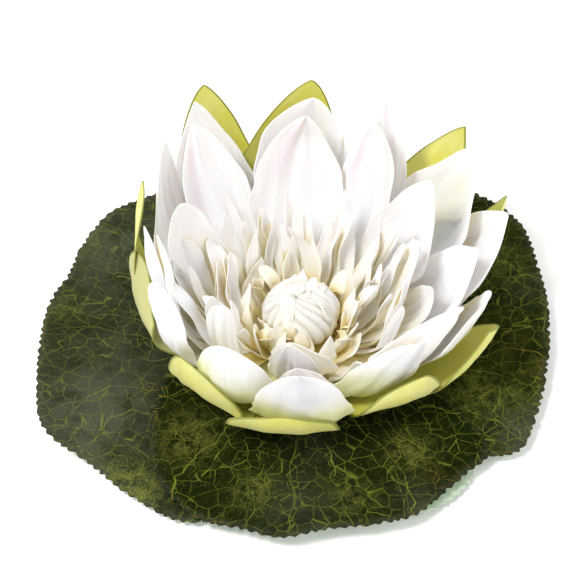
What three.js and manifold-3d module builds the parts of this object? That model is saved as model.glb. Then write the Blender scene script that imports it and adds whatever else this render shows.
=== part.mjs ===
// A cloth water lily: a many-petalled bloom pinned through four round lily leaves.
// Millimetres, +Z up. The origin is on the bloom's axis, on the surface that the flower stands on.
import * as THREE from 'three';
import { mergeVertices } from 'three/addons/utils/BufferGeometryUtils.js';
import Module from 'manifold-3d';

const wasm = await Module();
wasm.setup();

// Driving dimensions of the pin and of the layers that it carries, from the surface upwards.
const flangeRadius = 9;
const flangeHeight = 1.9;
const pinRadius = 2.5;
const pinTop = 14;
const pinHoleRadius = 2.9;
const pinClearance = 0.35;
const pinBoreLength = 8;
const chamfer = 0.6;
const leafThickness = 0.6;
const leafPitch = 1.0;
const leafFloor = 2.5;
const sepalRingBottom = 6.5;
const sepalRingTop = 7.5;
const sepalRingRadius = 11;
const petalRingBottom = 8.05;
const petalRingTop = 10.9;
const petalRingRadius = 11.5;
const budBottom = 11.3;

// Blades: cloth thickness of petals and sepals, and how far along the midrib a blade is closed off.
const bladeThickness = 0.7;
const bladeEnd = 0.985;

// The pad that the leaves lie on: it falls from the pin to the margin and waves more and more.
const padRadius = 60;
const padFall = 1.4;
const padWave = 2.2;
const padWaves = 4;
const toothPitch = 2.8;
const toothDepth = 0.75;
const toothedFrom = 30;

// Rings of points in a leaf, as shares of the way from the pin's hole to the margin.
const borderShare = 0.93;
const middleRing = { count: 32, share: 0.66 };
const heartRing = { count: 20, share: 0.3 };
const holeRing = { count: 20, share: 0 };

const rad = THREE.MathUtils.degToRad;

// A seeded draw between two limits, so that the flower is the same every time.
let seed = 7;
function pick([low, high]) {
  seed = (seed * 16807) % 2147483647;
  return low + ((high - low) * seed) / 2147483647;
}

// ---- solids -------------------------------------------------------------------------------

function solidOf(geometry) {
  const bare = geometry.index ? geometry.toNonIndexed() : geometry.clone();
  bare.deleteAttribute('normal');
  bare.deleteAttribute('uv');
  const merged = mergeVertices(bare, 1e-5);
  const vertProperties = new Float32Array(merged.attributes.position.array);
  const triVerts = new Uint32Array(merged.index.array);
  return new wasm.Manifold(new wasm.Mesh({ numProp: 3, vertProperties, triVerts }));
}

// The largest closed body: loose scraps and hollows sealed in by the joining are left behind.
function mainBody(solid) {
  const bodies = solid.decompose();
  return bodies.reduce((best, body) => (body.volume() > best.volume() ? body : best));
}

function geometryOf(solid) {
  const mesh = solid.getMesh();
  const geometry = new THREE.BufferGeometry();
  geometry.setAttribute('position', new THREE.BufferAttribute(mesh.vertProperties.slice(), 3));
  geometry.setIndex(new THREE.BufferAttribute(mesh.triVerts.slice(), 1));
  return geometry;
}

function fuse(geometries) {
  const joined = geometries.map(solidOf).reduce((sum, solid) => sum.add(solid));
  return geometryOf(mainBody(joined));
}

// A ring round the pin, turned from a rectangle.
function ring(inner, outer, bottom, top, sides = 20) {
  const section = [[inner, bottom], [outer, bottom], [outer, top], [inner, top], [inner, bottom]];
  return new THREE.LatheGeometry(section.map(([x, y]) => new THREE.Vector2(x, y)), sides)
    .rotateX(Math.PI / 2);
}

// ---- blades: one formula for every petal and sepal ------------------------------------------

// The half width of a blade as a share of its full half width, s along the midrib from root to tip.
function widthShare(s, { base, peak, round }) {
  if (s < peak) {
    return base + (1 - base) * Math.sin((s / peak) * Math.PI / 2) ** 1.2;
  }
  return Math.max(0, 1 - ((s - peak) / (1 - peak)) ** 2) ** round;
}

// What the numbers of a blade stand for, in order. Angles are in degrees and lengths in mm. radius and
// height are the tip's; lean moves the tip sideways; less and more are the shares of the half width
// towards lower and higher azimuths; roll twists the tip; round and peak shape the width; belly,
// rise and hook shape the midrib; rootTurn swings the root; hug is how deeply the blade is cupped.
const bladeColumns = [
  'azimuth', 'radius', 'height', 'width', 'lean', 'less', 'more', 'roll', 'round', 'peak',
  'belly', 'rise', 'hook', 'rootTurn', 'hug',
];

// Middle surface of a blade as rows of points. The midrib is a cubic curve in the upright plane of
// its azimuth: out from the root, then up to the tip. Across it the blade is an arc.
function bladeRows(blade) {
  const { radius, height, root, belly, rise, hook } = blade;
  const [rootRadius, rootHeight] = root;
  const reach = radius - rootRadius;
  const midrib = new THREE.CubicBezierCurve(
    new THREE.Vector2(rootRadius, rootHeight),
    new THREE.Vector2(rootRadius + reach * belly, rootHeight),
    new THREE.Vector2(rootRadius + reach * hook, rootHeight + (height - rootHeight) * rise),
    new THREE.Vector2(radius, height),
  );
  const rows = [];
  for (let i = 0; i <= blade.rows; i += 1) {
    const s = (i / blade.rows) ** 0.9 * bladeEnd;
    const point = midrib.getPoint(s);
    const tangent = midrib.getTangent(s);
    const turn = rad(blade.azimuth + blade.rootTurn * (1 - s));
    const out = new THREE.Vector3(Math.cos(turn), Math.sin(turn), 0);
    const along = new THREE.Vector3(-out.y, out.x, 0);
    const inward = out.clone().multiplyScalar(-tangent.y).setZ(tangent.x);
    const roll = rad(blade.roll) * s;
    const side = along.clone().multiplyScalar(Math.cos(roll)).addScaledVector(inward, Math.sin(roll));
    const face = inward.clone().multiplyScalar(Math.cos(roll)).addScaledVector(along, -Math.sin(roll));
    const half = (blade.width / 2) * widthShare(s, blade);
    const steep = THREE.MathUtils.clamp(tangent.y, 0.05, 1);
    const fold = THREE.MathUtils.clamp((blade.hug * half * steep) / point.x, 0.02, 1.25);
    const middle = out.clone().multiplyScalar(point.x).setZ(point.y)
      .addScaledVector(along, blade.lean * s * s);
    const row = [];
    for (let j = 0; j <= blade.columns; j += 1) {
      const t = (2 * j) / blade.columns - 1;
      const reachAcross = half * (t < 0 ? blade.less : blade.more);
      row.push(middle.clone()
        .addScaledVector(side, (reachAcross * Math.sin(fold * t)) / fold)
        .addScaledVector(face, (reachAcross * (1 - Math.cos(fold * t))) / fold));
    }
    rows.push(row);
  }
  return rows;
}

// A closed solid from rows of points: both faces are split alike, half a thickness to each side.
function slab(rows, thickness) {
  const rowCount = rows.length - 1;
  const columnCount = rows[0].length - 1;
  const across = columnCount + 1;
  const faceSize = rows.length * across;
  const positions = new Float32Array(faceSize * 6);
  rows.forEach((row, i) => row.forEach((point, j) => {
    const down = rows[Math.min(i + 1, rowCount)][j].clone().sub(rows[Math.max(i - 1, 0)][j]);
    const over = row[Math.min(j + 1, columnCount)].clone().sub(row[Math.max(j - 1, 0)]);
    const normal = down.cross(over).normalize().multiplyScalar(thickness / 2);
    const k = i * across + j;
    point.clone().add(normal).toArray(positions, 3 * k);
    point.clone().sub(normal).toArray(positions, 3 * (faceSize + k));
  }));
  const index = [];
  for (let i = 0; i < rowCount; i += 1) {
    for (let j = 0; j < columnCount; j += 1) {
      const a = i * across + j;
      const [b, c, d] = [a + across, a + across + 1, a + 1];
      index.push(a, b, c, a, c, d);
      index.push(a + faceSize, c + faceSize, b + faceSize, a + faceSize, d + faceSize, c + faceSize);
    }
  }
  const rim = [];
  for (let j = 0; j < columnCount; j += 1) rim.push(j);
  for (let i = 0; i < rowCount; i += 1) rim.push(i * across + columnCount);
  for (let j = columnCount; j > 0; j -= 1) rim.push(rowCount * across + j);
  for (let i = rowCount; i > 0; i -= 1) rim.push(i * across);
  rim.forEach((p, k) => {
    const q = rim[(k + 1) % rim.length];
    index.push(p, q, q + faceSize, p, q + faceSize, p + faceSize);
  });
  const geometry = new THREE.BufferGeometry();
  geometry.setAttribute('position', new THREE.BufferAttribute(positions, 3));
  geometry.setIndex(index);
  return geometry;
}

// Blades of one kind. A short row of numbers leaves the rest to the kind.
function blades(kind, table) {
  return table.map((numbers) => {
    const own = Object.fromEntries(numbers.map((number, k) => [bladeColumns[k], number]));
    return slab(bladeRows({ ...kind, ...own }), bladeThickness);
  });
}

// ---- sepals ---------------------------------------------------------------------------------

const sepalKind = { root: [8, 7.0], base: 0.5, rows: 6, columns: 4 };
const sepalTable = [
  [113.8, 56.2, 47.1, 21.7, 1.7, 0.89, 0.92, -11, 0.7, 0.51, 1, 0.3, 1.03, -3.9, 1],
  [91.1, 50.8, 48.6, 28.1, -3.8, 0.76, 1.19, 13, 0.69, 0.54, 1, 0.32, 1.04, 4.7, 0.9],
  [47.7, 56.2, 44.3, 23.7, -4.6, 0.61, 1.04, -14, 0.85, 0.5, 0.99, 0.3, 1, 8.4, 1.1],
  [25, 55.2, 35.2, 23.7, -1.4, 1.04, 1.05, -49, 0.75, 0.5, 0.99, 0.33, 1.01, 6.9, 1.1],
  [343.2, 47.2, 27.9, 29, -1.8, 0.88, 1, -22, 0.85, 0.5, 0.84, 0.37, 1.02, -3.2, 1.6],
  [317, 39.6, 24.9, 34, 1.4, 0.88, 0.4, -28, 0.7, 0.52, 0.9, 0.36, 0.97, 3.2, 0.8],
  [264, 40.1, 26.5, 39.5, 0.2, 0.78, 0.64, 4, 0.6, 0.55, 0.91, 0.37, 0.95, 2.3, 1.2],
  [220, 36.8, 28.9, 33, 0.4, 0.4, 1, 9, 0.5, 0.56, 1, 0.3, 1, -1, 1],
  [171, 39.4, 25.2, 27, -3.9, 0.9, 0.9, 36, 0.5, 0.49, 1.09, 0.36, 1.16, 7.3, 1.1],
  [156.5, 43.9, 40.6, 13, -4.6, 0.8, 1.15, 30, 0.3, 0.5, 1.08, 0.32, 1.12, 6.4, 1],
];

function sepals() {
  const band = ring(pinHoleRadius, sepalRingRadius, sepalRingBottom, sepalRingTop);
  return fuse([band, ...blades(sepalKind, sepalTable)]);
}

// ---- petals ---------------------------------------------------------------------------------

const outerKind = { root: [6, 9.1], base: 0.22, rows: 6, columns: 4 };
const outerTable = [
  [120.1, 50.3, 48.5, 25.7, 1.2, 0.87, 0.89, 8, 0.84, 0.51, 0.87, 0.33, 0.97, -2.9, 2],
  [88.5, 45.3, 47.8, 27.4, -2.2, 0.65, 1.07, 4, 0.71, 0.7, 0.88, 0.39, 1.01, 2.1, 1.9],
  [64, 47.6, 49.6, 24.5, -0.7, 0.72, 0.98, -9, 0.69, 0.62, 0.88, 0.37, 0.98, 0.9, 2],
  [35.1, 52, 47.9, 30.4, -3.5, 0.87, 1.1, -24, 0.84, 0.52, 0.87, 0.34, 0.93, 6.6, 2.1],
  [12.3, 50.8, 42.2, 32.9, -1.7, 0.97, 1.14, -23, 0.86, 0.51, 0.86, 0.35, 0.92, 6.2, 2.1],
  [347.1, 45.6, 34.4, 26.7, -1.2, 0.99, 0.84, -20, 0.5, 0.62, 0.82, 0.39, 0.95, 1.6, 2.3],
  [203.1, 35.8, 45.6, 25.1, 4.5, 0.94, 0.88, 13, 0.44, 0.58, 1.01, 0.36, 1.1, -11.5, 2.1],
  [177.8, 36.6, 42.9, 19.8, -2.2, 0.96, 0.97, 24, 0.43, 0.58, 0.92, 0.36, 1.05, 1.3, 1.9],
  [141.5, 45.5, 46, 19.8, -3.7, 0.64, 1, 17, 0.61, 0.56, 0.89, 0.35, 1.01, 4.7, 2],
];
const frontKind = { root: [6, 9.1], base: 0.5, rows: 6, columns: 4 };
const frontTable = [
  [305, 37.1, 35.9, 29, 8.8, 0.92, 0.3, -18, 0.41, 0.57, 0.87, 0.38, 0.93, -2.8, 2.1],
  [269.4, 37.4, 38.2, 29.4, 0.3, 0.86, 0.94, -3, 0.49, 0.56, 1, 0.25, 1.03, -0.6, 2],
  [237, 34.5, 39, 26, 0.1, 0.66, 0.98, 20, 0.5, 0.59, 1.03, 0.25, 1, 1.5, 2.1],
];
const innerKind = { root: [6, 10], base: 0.22, rows: 5, columns: 4 };
const innerTable = [
  [125.2, 44.5, 48.5, 23.6, 0.8, 0.95, 0.94, 6, 0.88, 0.5, 0.79, 0.36, 0.94, -3, 2.2],
  [90.4, 40.1, 47.9, 26, -1.6, 0.85, 1.12, 2, 0.79, 0.59, 0.8, 0.4, 0.95, 1.4, 2.1],
  [59.9, 41, 47.4, 20.5, 1.8, 0.73, 0.9, -10, 0.8, 0.7, 0.82, 0.41, 0.94, -4, 2.3],
  [33.7, 36.6, 45.2, 24.4, -2.6, 0.91, 0.95, -2, 0.73, 0.56, 0.8, 0.39, 0.93, 1.6, 2.3],
  [2.4, 42.5, 39.7, 27.1, -1.5, 0.95, 0.96, -5, 0.81, 0.54, 0.78, 0.39, 0.91, 2.7, 2.4],
  [324.4, 38.6, 39.4, 26.9, 4.5, 1, 0.88, -23, 0.47, 0.65, 0.85, 0.39, 0.92, -5.6, 2.5],
  [157.9, 30.2, 46.1, 22.7, 1.9, 0.81, 0.99, -29, 0.59, 0.53, 0.79, 0.39, 0.95, -1.6, 2.3],
  [6.1, 28.8, 36.9, 23.2, 2, 1.06, 0.67, 1, 0.62, 0.7, 0.82, 0.39, 0.9, -11.3, 2.7],
];
const slimKind = { root: [6, 10], base: 0.22, rows: 4, columns: 2 };
const slimTable = [
  [263.2, 25.7, 35.5, 17.1, 0.6, 0.76, 0.9, -8, 0.64, 0.57, 0.8, 0.39, 0.95, 0.9, 2.2],
  [223.3, 27.3, 43, 10, 2, 0.9, 0.91, 32, 0.33, 0.59, 0.86, 0.36, 0.99, -3.7, 2.1],
  [182.6, 33.4, 43.5, 13.9, -1.8, 0.98, 1.06, 22, 0.34, 0.62, 0.93, 0.37, 1.04, 0.9, 2],
  [357.5, 31.8, 32.6, 13.8, -3.8, 0.77, 0.96, 23, 0.76, 0.52, 0.78, 0.39, 0.97, 8, 2.3],
  [43.1, 27.2, 37.5, 7.2, -7.4, 0.72, 1.03, 2, 0.72, 0.59, 0.8, 0.42, 0.93, 1.2, 2.2],
  [172.8, 27.2, 32.4, 4.5, 1.4, 1.06, 0.8, -10, 0.58, 0.65, 0.83, 0.43, 0.84, 6.1, 2.2],
  [167.7, 30.9, 33.3, 4.8, 3.8, 1.06, 0.81, -4, 0.58, 0.62, 0.78, 0.45, 0.87, 1.6, 2.2],
  [178.6, 31.3, 30.4, 7.2, 0.2, 0.99, 0.77, -1, 0.61, 0.63, 0.77, 0.43, 0.88, 2.5, 2.3],
  [194.4, 30.7, 26.5, 7.7, -1.1, 0.94, 1.01, 2, 0.63, 0.59, 0.81, 0.4, 0.94, 3.3, 2.2],
  [270.1, 31.4, 33.9, 17.1, -0.9, 0.89, 1.05, 3, 0.72, 0.57, 0.8, 0.39, 0.95, 1.5, 2.2],
  [272.1, 24.6, 35.2, 17.6, -3.1, 0.97, 1.08, -10, 0.58, 0.55, 0.81, 0.38, 0.97, 1.5, 2],
];
const narrowKind = {
  root: [8, 10.2], belly: 0.75, rise: 0.42, hook: 0.92, rootTurn: 0, hug: 2.6, base: 0.45,
  rows: 3, columns: 2,
};
const narrowTable = [
  [116.3, 31.7, 38, 3.7, 2.1, 1, 0.94, 20, 0.83, 0.6, 0.75, 0.43, 0.92, -3],
  [120.6, 30, 36.2, 3.1, 4.1, 1, 0.88, -20, 0.86, 0.61, 0.74, 0.45, 0.91, -3.8],
  [113.4, 24.6, 32, 4.2, 0.1, 1, 1, 25, 0.87, 0.6, 0.75, 0.42, 0.92, -0.5],
  [97.5, 17.8, 32.1, 4.5, 2.4, 1, 0.9, 15, 1.03, 0.51, 0.75, 0.39, 0.91, -3.5],
  [91.7, 23, 33.1, 3.4, -0.3, 1, 1, -20, 0.8, 0.71, 0.75, 0.45, 0.93, 1],
  [72.4, 14.4, 29, 4.6, 1.4, 1, 1, -10, 1, 0.56, 0.75, 0.4, 0.92, -2.3],
  [72.4, 21.3, 31.8, 4.4, -1, 1, 1, 20, 0.85, 0.63, 0.75, 0.43, 0.92, 1.9],
  [67.2, 27.9, 35.1, 3.3, -0.4, 1, 1, 15, 0.79, 0.61, 0.75, 0.43, 0.92, -0.3],
  [24, 14.4, 25.5, 3.2, 1.6, 1, 1, 40, 0.85, 0.61, 0.76, 0.42, 0.93, -2.4],
  [128.5, 20.9, 27.7, 3.4, -1.5, 1, 1, -30, 0.76, 0.65, 0.76, 0.43, 0.91, 3.3, 2.6],
  [144.1, 17, 20.9, 7.4, -7.2, 1, 1.1, -23, 0.89, 0.65, 0.82, 0.39, 0.92, 16.2, 2.5],
  [358, 18.7, 27.8, 3, 0, 1, 1, 40, 0.8, 0.6, 0.3, 0.95, 0.62, 2],
  [346, 17.4, 28.4, 3.2, 0, 1, 1, -30, 0.8, 0.6, 0.3, 0.95, 0.62, 1, 2.6],
  [301, 24.5, 23.5, 9, 0, 1, 1, 10, 0.8, 0.62, 0.75, 0.42, 0.92, 0, 2.4],
  [238.1, 12.5, 26.4, 4.8, 1.1, 1, 1, 13, 0.9, 0.59, 0.75, 0.41, 0.92, -1.9],
  [255.8, 10, 25, 3.7, 0.3, 1, 1, 1, 0.88, 0.61, 0.75, 0.42, 0.92, -0.8],
  [271.6, 11.7, 24.7, 4.1, -0.3, 1, 1, -5, 0.82, 0.61, 0.75, 0.43, 0.92, 0.7],
  [294.1, 17.5, 27.5, 4.9, 0, 1, 1, -5, 0.9, 0.6, 0.75, 0.42, 0.92, 0],
  [165.6, 21.5, 28.1, 5.4, -2.3, 0.92, 1.09, -18, 0.84, 0.64, 0.77, 0.42, 0.94, 5.8, 2.6],
  [161.5, 19.2, 30, 5.7, -3, 1.05, 0.88, -19, 0.85, 0.81, 0.8, 0.43, 0.91, 9.7, 2.6],
  [209.2, 17.5, 29.2, 7.8, -3, 0.64, 1.15, -50, 0.94, 0.58, 0.7, 0.4, 0.93, 8.3, 2.6],
  [342.2, 15, 29.2, 5.1, -2.1, 1, 1, 49, 0.83, 0.69, 0.5, 0.75, 0.75, -0.7, 2.5],
  [350.7, 13.1, 25.9, 6.5, 2.6, 1.04, 0.68, 15, 0.86, 0.65, 0.5, 0.7, 0.75, -7.4, 2.9],
  [315.9, 17.8, 22, 6.6, 2.9, 1.08, 0.89, 47, 0.88, 0.59, 0.7, 0.44, 0.91, -3.8, 2.7],
  [18.8, 18.7, 29.4, 3.5, 1, 1.02, 0.98, 8, 0.84, 0.62, 0.76, 0.42, 0.93, -2.2, 2.6],
  [38.2, 20.8, 34.9, 3.6, -4.4, 0.68, 1.14, 1, 0.87, 0.67, 0.75, 0.48, 0.88, 0, 2.6],
  [20.1, 25.5, 35.2, 3.4, -3.5, 0.76, 1.12, 6, 0.87, 0.66, 0.78, 0.49, 0.81, -4.5, 2.6],
];

// Two rings of torn strips: loose ones behind and beside the bud, short ones close round it.
const ribbons = {
  count: 14, from: -30, to: 215, radius: [18, 29], height: [27, 37], width: [3, 6], roll: 70, lean: 5,
};
const fringe = {
  count: 11, from: 0, to: 360, radius: [10.5, 16], height: [18, 26], width: [3, 5.5], roll: 60, lean: 4,
};
const stripKind = { ...narrowKind, less: 1, more: 1, round: 0.6, peak: 0.65, columns: 1 };

// Evenly spaced azimuths with jitter. Each strip picks how far out it stands, and further out it also
// stands higher.
function strips(kind) {
  const table = Array.from({ length: kind.count }, (_, i) => {
    const share = pick([0, 1]);
    const [low, high] = kind.height;
    return {
      azimuth: kind.from + ((kind.to - kind.from) * (i + pick([0, 1]))) / kind.count,
      radius: kind.radius[0] + (kind.radius[1] - kind.radius[0]) * share,
      height: low + (high - low) * (0.7 * share + 0.3 * pick([0, 1])),
      width: pick(kind.width),
      roll: pick([-kind.roll, kind.roll]),
      lean: pick([-kind.lean, kind.lean]),
    };
  });
  return table.map((own) => slab(bladeRows({ ...stripKind, ...own }), bladeThickness));
}

function petals() {
  const heart = ring(pinHoleRadius, petalRingRadius, petalRingBottom, petalRingTop);
  return fuse([
    heart,
    ...blades(outerKind, outerTable),
    ...blades(frontKind, frontTable),
    ...blades(innerKind, innerTable),
    ...blades(slimKind, slimTable),
    ...blades(narrowKind, narrowTable),
    ...strips(ribbons),
    ...strips(fringe),
  ]);
}

// ---- bud ------------------------------------------------------------------------------------

const bud = {
  radius: 8.9, halfHeight: 7.0, middle: 18.2, pleats: 14, pleatDepth: 0.09, swirl: 50, rings: 10,
};

// A pleated ball: its radius rises and falls once for each pleat, and the pleats swirl upwards.
function pleatedBall() {
  const columns = bud.pleats * 2;
  const positions = [0, 0, budBottom];
  for (let i = 1; i < bud.rings; i += 1) {
    const polar = Math.PI * (i / bud.rings);
    const height = Math.max(budBottom, bud.middle - bud.halfHeight * Math.cos(polar));
    for (let j = 0; j < columns; j += 1) {
      const azimuth = rad((360 * j) / columns + bud.swirl * (i / bud.rings));
      const pleat = 1 - (j % 2) * bud.pleatDepth;
      const radius = bud.radius * Math.sin(polar) * pleat;
      positions.push(radius * Math.cos(azimuth), radius * Math.sin(azimuth), height);
    }
  }
  positions.push(0, 0, bud.middle + bud.halfHeight);
  const top = positions.length / 3 - 1;
  const index = [];
  for (let j = 0; j < columns; j += 1) {
    const next = (j + 1) % columns;
    index.push(0, 1 + next, 1 + j);
    for (let i = 0; i < bud.rings - 2; i += 1) {
      const [low, high] = [1 + i * columns, 1 + (i + 1) * columns];
      index.push(low + j, low + next, high + next, low + j, high + next, high + j);
    }
    const last = 1 + (bud.rings - 2) * columns;
    index.push(last + j, last + next, top);
  }
  const geometry = new THREE.BufferGeometry();
  geometry.setAttribute('position', new THREE.Float32BufferAttribute(positions, 3));
  geometry.setIndex(index);
  return geometry;
}

// Small points of cloth that close over the top of the bud.
const tuftKind = {
  root: [4, 23], lean: 0, less: 1, more: 1, roll: 0, round: 0.7, peak: 0.4, belly: 0.3, rise: 0.5,
  hook: 0.6, rootTurn: 0, hug: 1, base: 0.8, rows: 3, columns: 2,
};
const tuftTable = [[80, 3, 28.2, 3.0], [170, 4, 25.6, 4], [20, 5, 25.2, 4], [120, 4.5, 25.6, 4]];

function centreBud() {
  const pinBore = new THREE.CylinderGeometry(pinHoleRadius, pinHoleRadius, pinBoreLength, 20)
    .rotateX(Math.PI / 2)
    .translate(0, 0, pinTop + pinClearance - pinBoreLength / 2);
  const ball = solidOf(fuse([pleatedBall(), ...blades(tuftKind, tuftTable)]));
  return geometryOf(mainBody(ball.subtract(solidOf(pinBore))));
}

// ---- leaves ---------------------------------------------------------------------------------

// Underside height of the lowest leaf at a point: the other leaves lie a pitch apart above it.
function padHeight(x, y) {
  const share = Math.hypot(x, y) / padRadius;
  const wave = 0.5 + 0.5 * Math.sin(padWaves * Math.atan2(y, x) + 1);
  return leafFloor - padFall * Math.min(share, 1.2) + padWave * share ** 2 * wave;
}

// Evenly spaced points on a smooth closed outline given as [azimuth, radius], in order of azimuth.
function smoothOutline(corners, count) {
  const points = corners.map(([azimuth, radius]) => new THREE.Vector3(
    radius * Math.cos(rad(azimuth)),
    radius * Math.sin(rad(azimuth)),
    0,
  ));
  return new THREE.CatmullRomCurve3(points, true, 'centripetal').getSpacedPoints(count).slice(0, count);
}

const turnOf = (point) => (Math.atan2(point.y, point.x) + 2 * Math.PI) % (2 * Math.PI);

// Radius of the outline at an azimuth, read between its two neighbouring points.
function radiusAt(outline, turn) {
  for (let i = 0; i < outline.length; i += 1) {
    const a = outline[i];
    const b = outline[(i + 1) % outline.length];
    const step = (turnOf(b) - turnOf(a) + 2 * Math.PI) % (2 * Math.PI);
    const offset = (turn - turnOf(a) + 2 * Math.PI) % (2 * Math.PI);
    if (offset <= step && step < Math.PI) {
      const share = step > 0 ? offset / step : 0;
      return (1 - share) * Math.hypot(a.x, a.y) + share * Math.hypot(b.x, b.y);
    }
  }
  return Math.hypot(outline[0].x, outline[0].y);
}

// Triangles between two rings round the pin: each step takes the ring that lags in azimuth.
function stitch(inner, outer, index) {
  const start = outer.reduce((best, point, k) => {
    const gap = (other) => Math.abs(Math.sin((turnOf(other.point) - turnOf(inner[0].point)) / 2));
    return gap(point) < gap(outer[best]) ? k : best;
  }, 0);
  const turned = (list, k, origin) => {
    const turn = turnOf(list[k % list.length].point) - origin;
    return (turn + 2 * Math.PI) % (2 * Math.PI) + (k >= list.length ? 2 * Math.PI : 0);
  };
  const shifted = outer.map((_, k) => outer[(k + start) % outer.length]);
  const origin = Math.min(turnOf(inner[0].point), turnOf(shifted[0].point)) - 1e-6;
  let i = 0;
  let j = 0;
  while (i < inner.length || j < shifted.length) {
    const nextInner = i < inner.length ? turned(inner, i + 1, origin) : Infinity;
    const nextOuter = j < shifted.length ? turned(shifted, j + 1, origin) : Infinity;
    const a = inner[i % inner.length].id;
    const b = shifted[j % shifted.length].id;
    if (nextInner < nextOuter) {
      index.push([a, b, inner[(i + 1) % inner.length].id]);
      i += 1;
    } else {
      index.push([a, b, shifted[(j + 1) % shifted.length].id]);
      j += 1;
    }
  }
}

// A toothed, gently waved leaf with a hole for the pin. Both faces have the same triangles.
function leaf(corners, layer) {
  const length = new THREE.CatmullRomCurve3(
    corners.map(([a, r]) => new THREE.Vector3(r * Math.cos(rad(a)), r * Math.sin(rad(a)), 0)),
    true,
    'centripetal',
  ).getLength();
  const teeth = Math.round(length / toothPitch);
  const smooth = smoothOutline(corners, teeth * 2);
  const points = [];
  const ringOf = (list) => list.map((point) => {
    points.push(point);
    return { id: points.length - 1, point };
  });
  const margin = ringOf(smooth.map((point, k) => {
    const radius = Math.hypot(point.x, point.y);
    const cut = radius > toothedFrom && k % 2 ? toothDepth : 0;
    return point.clone().multiplyScalar((radius - cut) / radius);
  }));
  const border = ringOf(smooth.filter((_, k) => k % 4 === 0)
    .map((point) => point.clone().multiplyScalar(borderShare)));
  const evenRing = ({ count, share }) => ringOf(Array.from({ length: count }, (_, k) => {
    const turn = (2 * Math.PI * (k + 0.5)) / count;
    const radius = pinHoleRadius + (radiusAt(smooth, turn) - pinHoleRadius) * share;
    return new THREE.Vector3(radius * Math.cos(turn), radius * Math.sin(turn), 0);
  }));
  const middle = evenRing(middleRing);
  const heart = evenRing(heartRing);
  const hole = evenRing(holeRing);
  const plan = [];
  stitch(border, margin, plan);
  stitch(middle, border, plan);
  stitch(heart, middle, plan);
  stitch(hole, heart, plan);
  const count = points.length;
  const positions = new Float32Array(count * 6);
  points.forEach((point, k) => {
    const bottom = padHeight(point.x, point.y) + layer * leafPitch;
    positions.set([point.x, point.y, bottom + leafThickness], 3 * k);
    positions.set([point.x, point.y, bottom], 3 * (count + k));
  });
  const index = plan.flatMap(([a, b, c]) => [a, b, c, a + count, c + count, b + count]);
  const wall = (list, outward) => list.forEach(({ id }, k) => {
    const next = list[(k + 1) % list.length].id;
    const [p, q] = outward ? [id, next] : [next, id];
    index.push(p, p + count, q + count, p, q + count, q);
  });
  wall(margin, true);
  wall(hole, false);
  const geometry = new THREE.BufferGeometry();
  geometry.setAttribute('position', new THREE.BufferAttribute(positions, 3));
  geometry.setIndex(index);
  return geometry;
}

// Outlines as [azimuth, radius]. A leaf's short side, under the bloom, only rounds the pin.
const leafOutlines = {
  leaf_under: [
    [0, 14], [45, 7], [100, 6.5], [160, 6.5], [220, 7], [262, 16], [280, 38], [291, 52], [300, 57.5],
    [308, 58], [316, 57], [323, 53], [330, 42], [342, 25],
  ],
  leaf_left: [
    [25, 7], [60, 11], [80, 26], [95, 50], [112, 63], [129, 69.3], [137, 71], [148, 68.5],
    [157, 66], [164, 66.5], [173, 66], [188, 66.2], [202, 67.8], [215, 62.3], [229, 60.4],
    [243, 59], [253, 51], [262, 38], [275, 20], [295, 9], [340, 6.5],
  ],
  leaf_right: [
    [11, 64.8], [24, 68.1], [35, 72.9], [43, 74.1], [52, 73], [64, 68], [78, 62], [92, 52],
    [104, 34], [118, 16], [150, 7.5], [200, 6.5], [255, 7.5], [290, 15], [308, 34], [318, 48],
    [328, 61.5], [336, 62.2], [354, 62.3],
  ],
  leaf_front: [
    [20, 7], [80, 6.5], [140, 8], [172, 18], [186, 29], [198, 36], [212, 42.5], [224, 50.3],
    [232, 54.3], [244, 58.4], [255, 58.2], [266, 59.5], [276, 57.6], [287, 58.4], [297, 59.3],
    [306, 57.2], [316, 56.3], [324, 56.5], [333, 42], [346, 22],
  ],
};

// ---- receptacle -----------------------------------------------------------------------------

// The moulded pin: a flat flange that the flower stands on, and a post through every layer.
function receptacle() {
  const profile = [
    [0, 0], [flangeRadius, 0], [flangeRadius, flangeHeight - chamfer],
    [flangeRadius - chamfer, flangeHeight], [pinRadius, flangeHeight], [pinRadius, pinTop - chamfer],
    [pinRadius - chamfer, pinTop], [0, pinTop],
  ];
  return new THREE.LatheGeometry(profile.map(([x, y]) => new THREE.Vector2(x, y)), 24)
    .rotateX(Math.PI / 2);
}

// ---- assembly -------------------------------------------------------------------------------

const finishes = {
  plastic: { color: 0x6f8a3c, roughness: 0.5, metalness: 0 },
  leafCloth: { color: 0x2f3d22, roughness: 0.6, metalness: 0 },
  paleCloth: { color: 0xb9d6b6, roughness: 0.7, metalness: 0 },
  sepalCloth: { color: 0xc3c95a, roughness: 0.7, metalness: 0 },
  petalCloth: { color: 0xf4f2ea, roughness: 0.7, metalness: 0 },
  budCloth: { color: 0xefe6c8, roughness: 0.7, metalness: 0 },
};

function piece(name, geometry, finish) {
  const mesh = new THREE.Mesh(geometry, new THREE.MeshStandardMaterial(finishes[finish]));
  mesh.name = name;
  return mesh;
}

const flower = new THREE.Group();
flower.add(piece('receptacle', receptacle(), 'plastic'));
flower.add(piece('leaf_under', leaf(leafOutlines.leaf_under, 0), 'paleCloth'));
flower.add(piece('leaf_left', leaf(leafOutlines.leaf_left, 1), 'leafCloth'));
flower.add(piece('leaf_right', leaf(leafOutlines.leaf_right, 2), 'leafCloth'));
flower.add(piece('leaf_front', leaf(leafOutlines.leaf_front, 3), 'leafCloth'));
flower.add(piece('sepals', sepals(), 'sepalCloth'));
flower.add(piece('petals', petals(), 'petalCloth'));
flower.add(piece('centre_bud', centreBud(), 'budCloth'));

export default flower;
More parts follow.
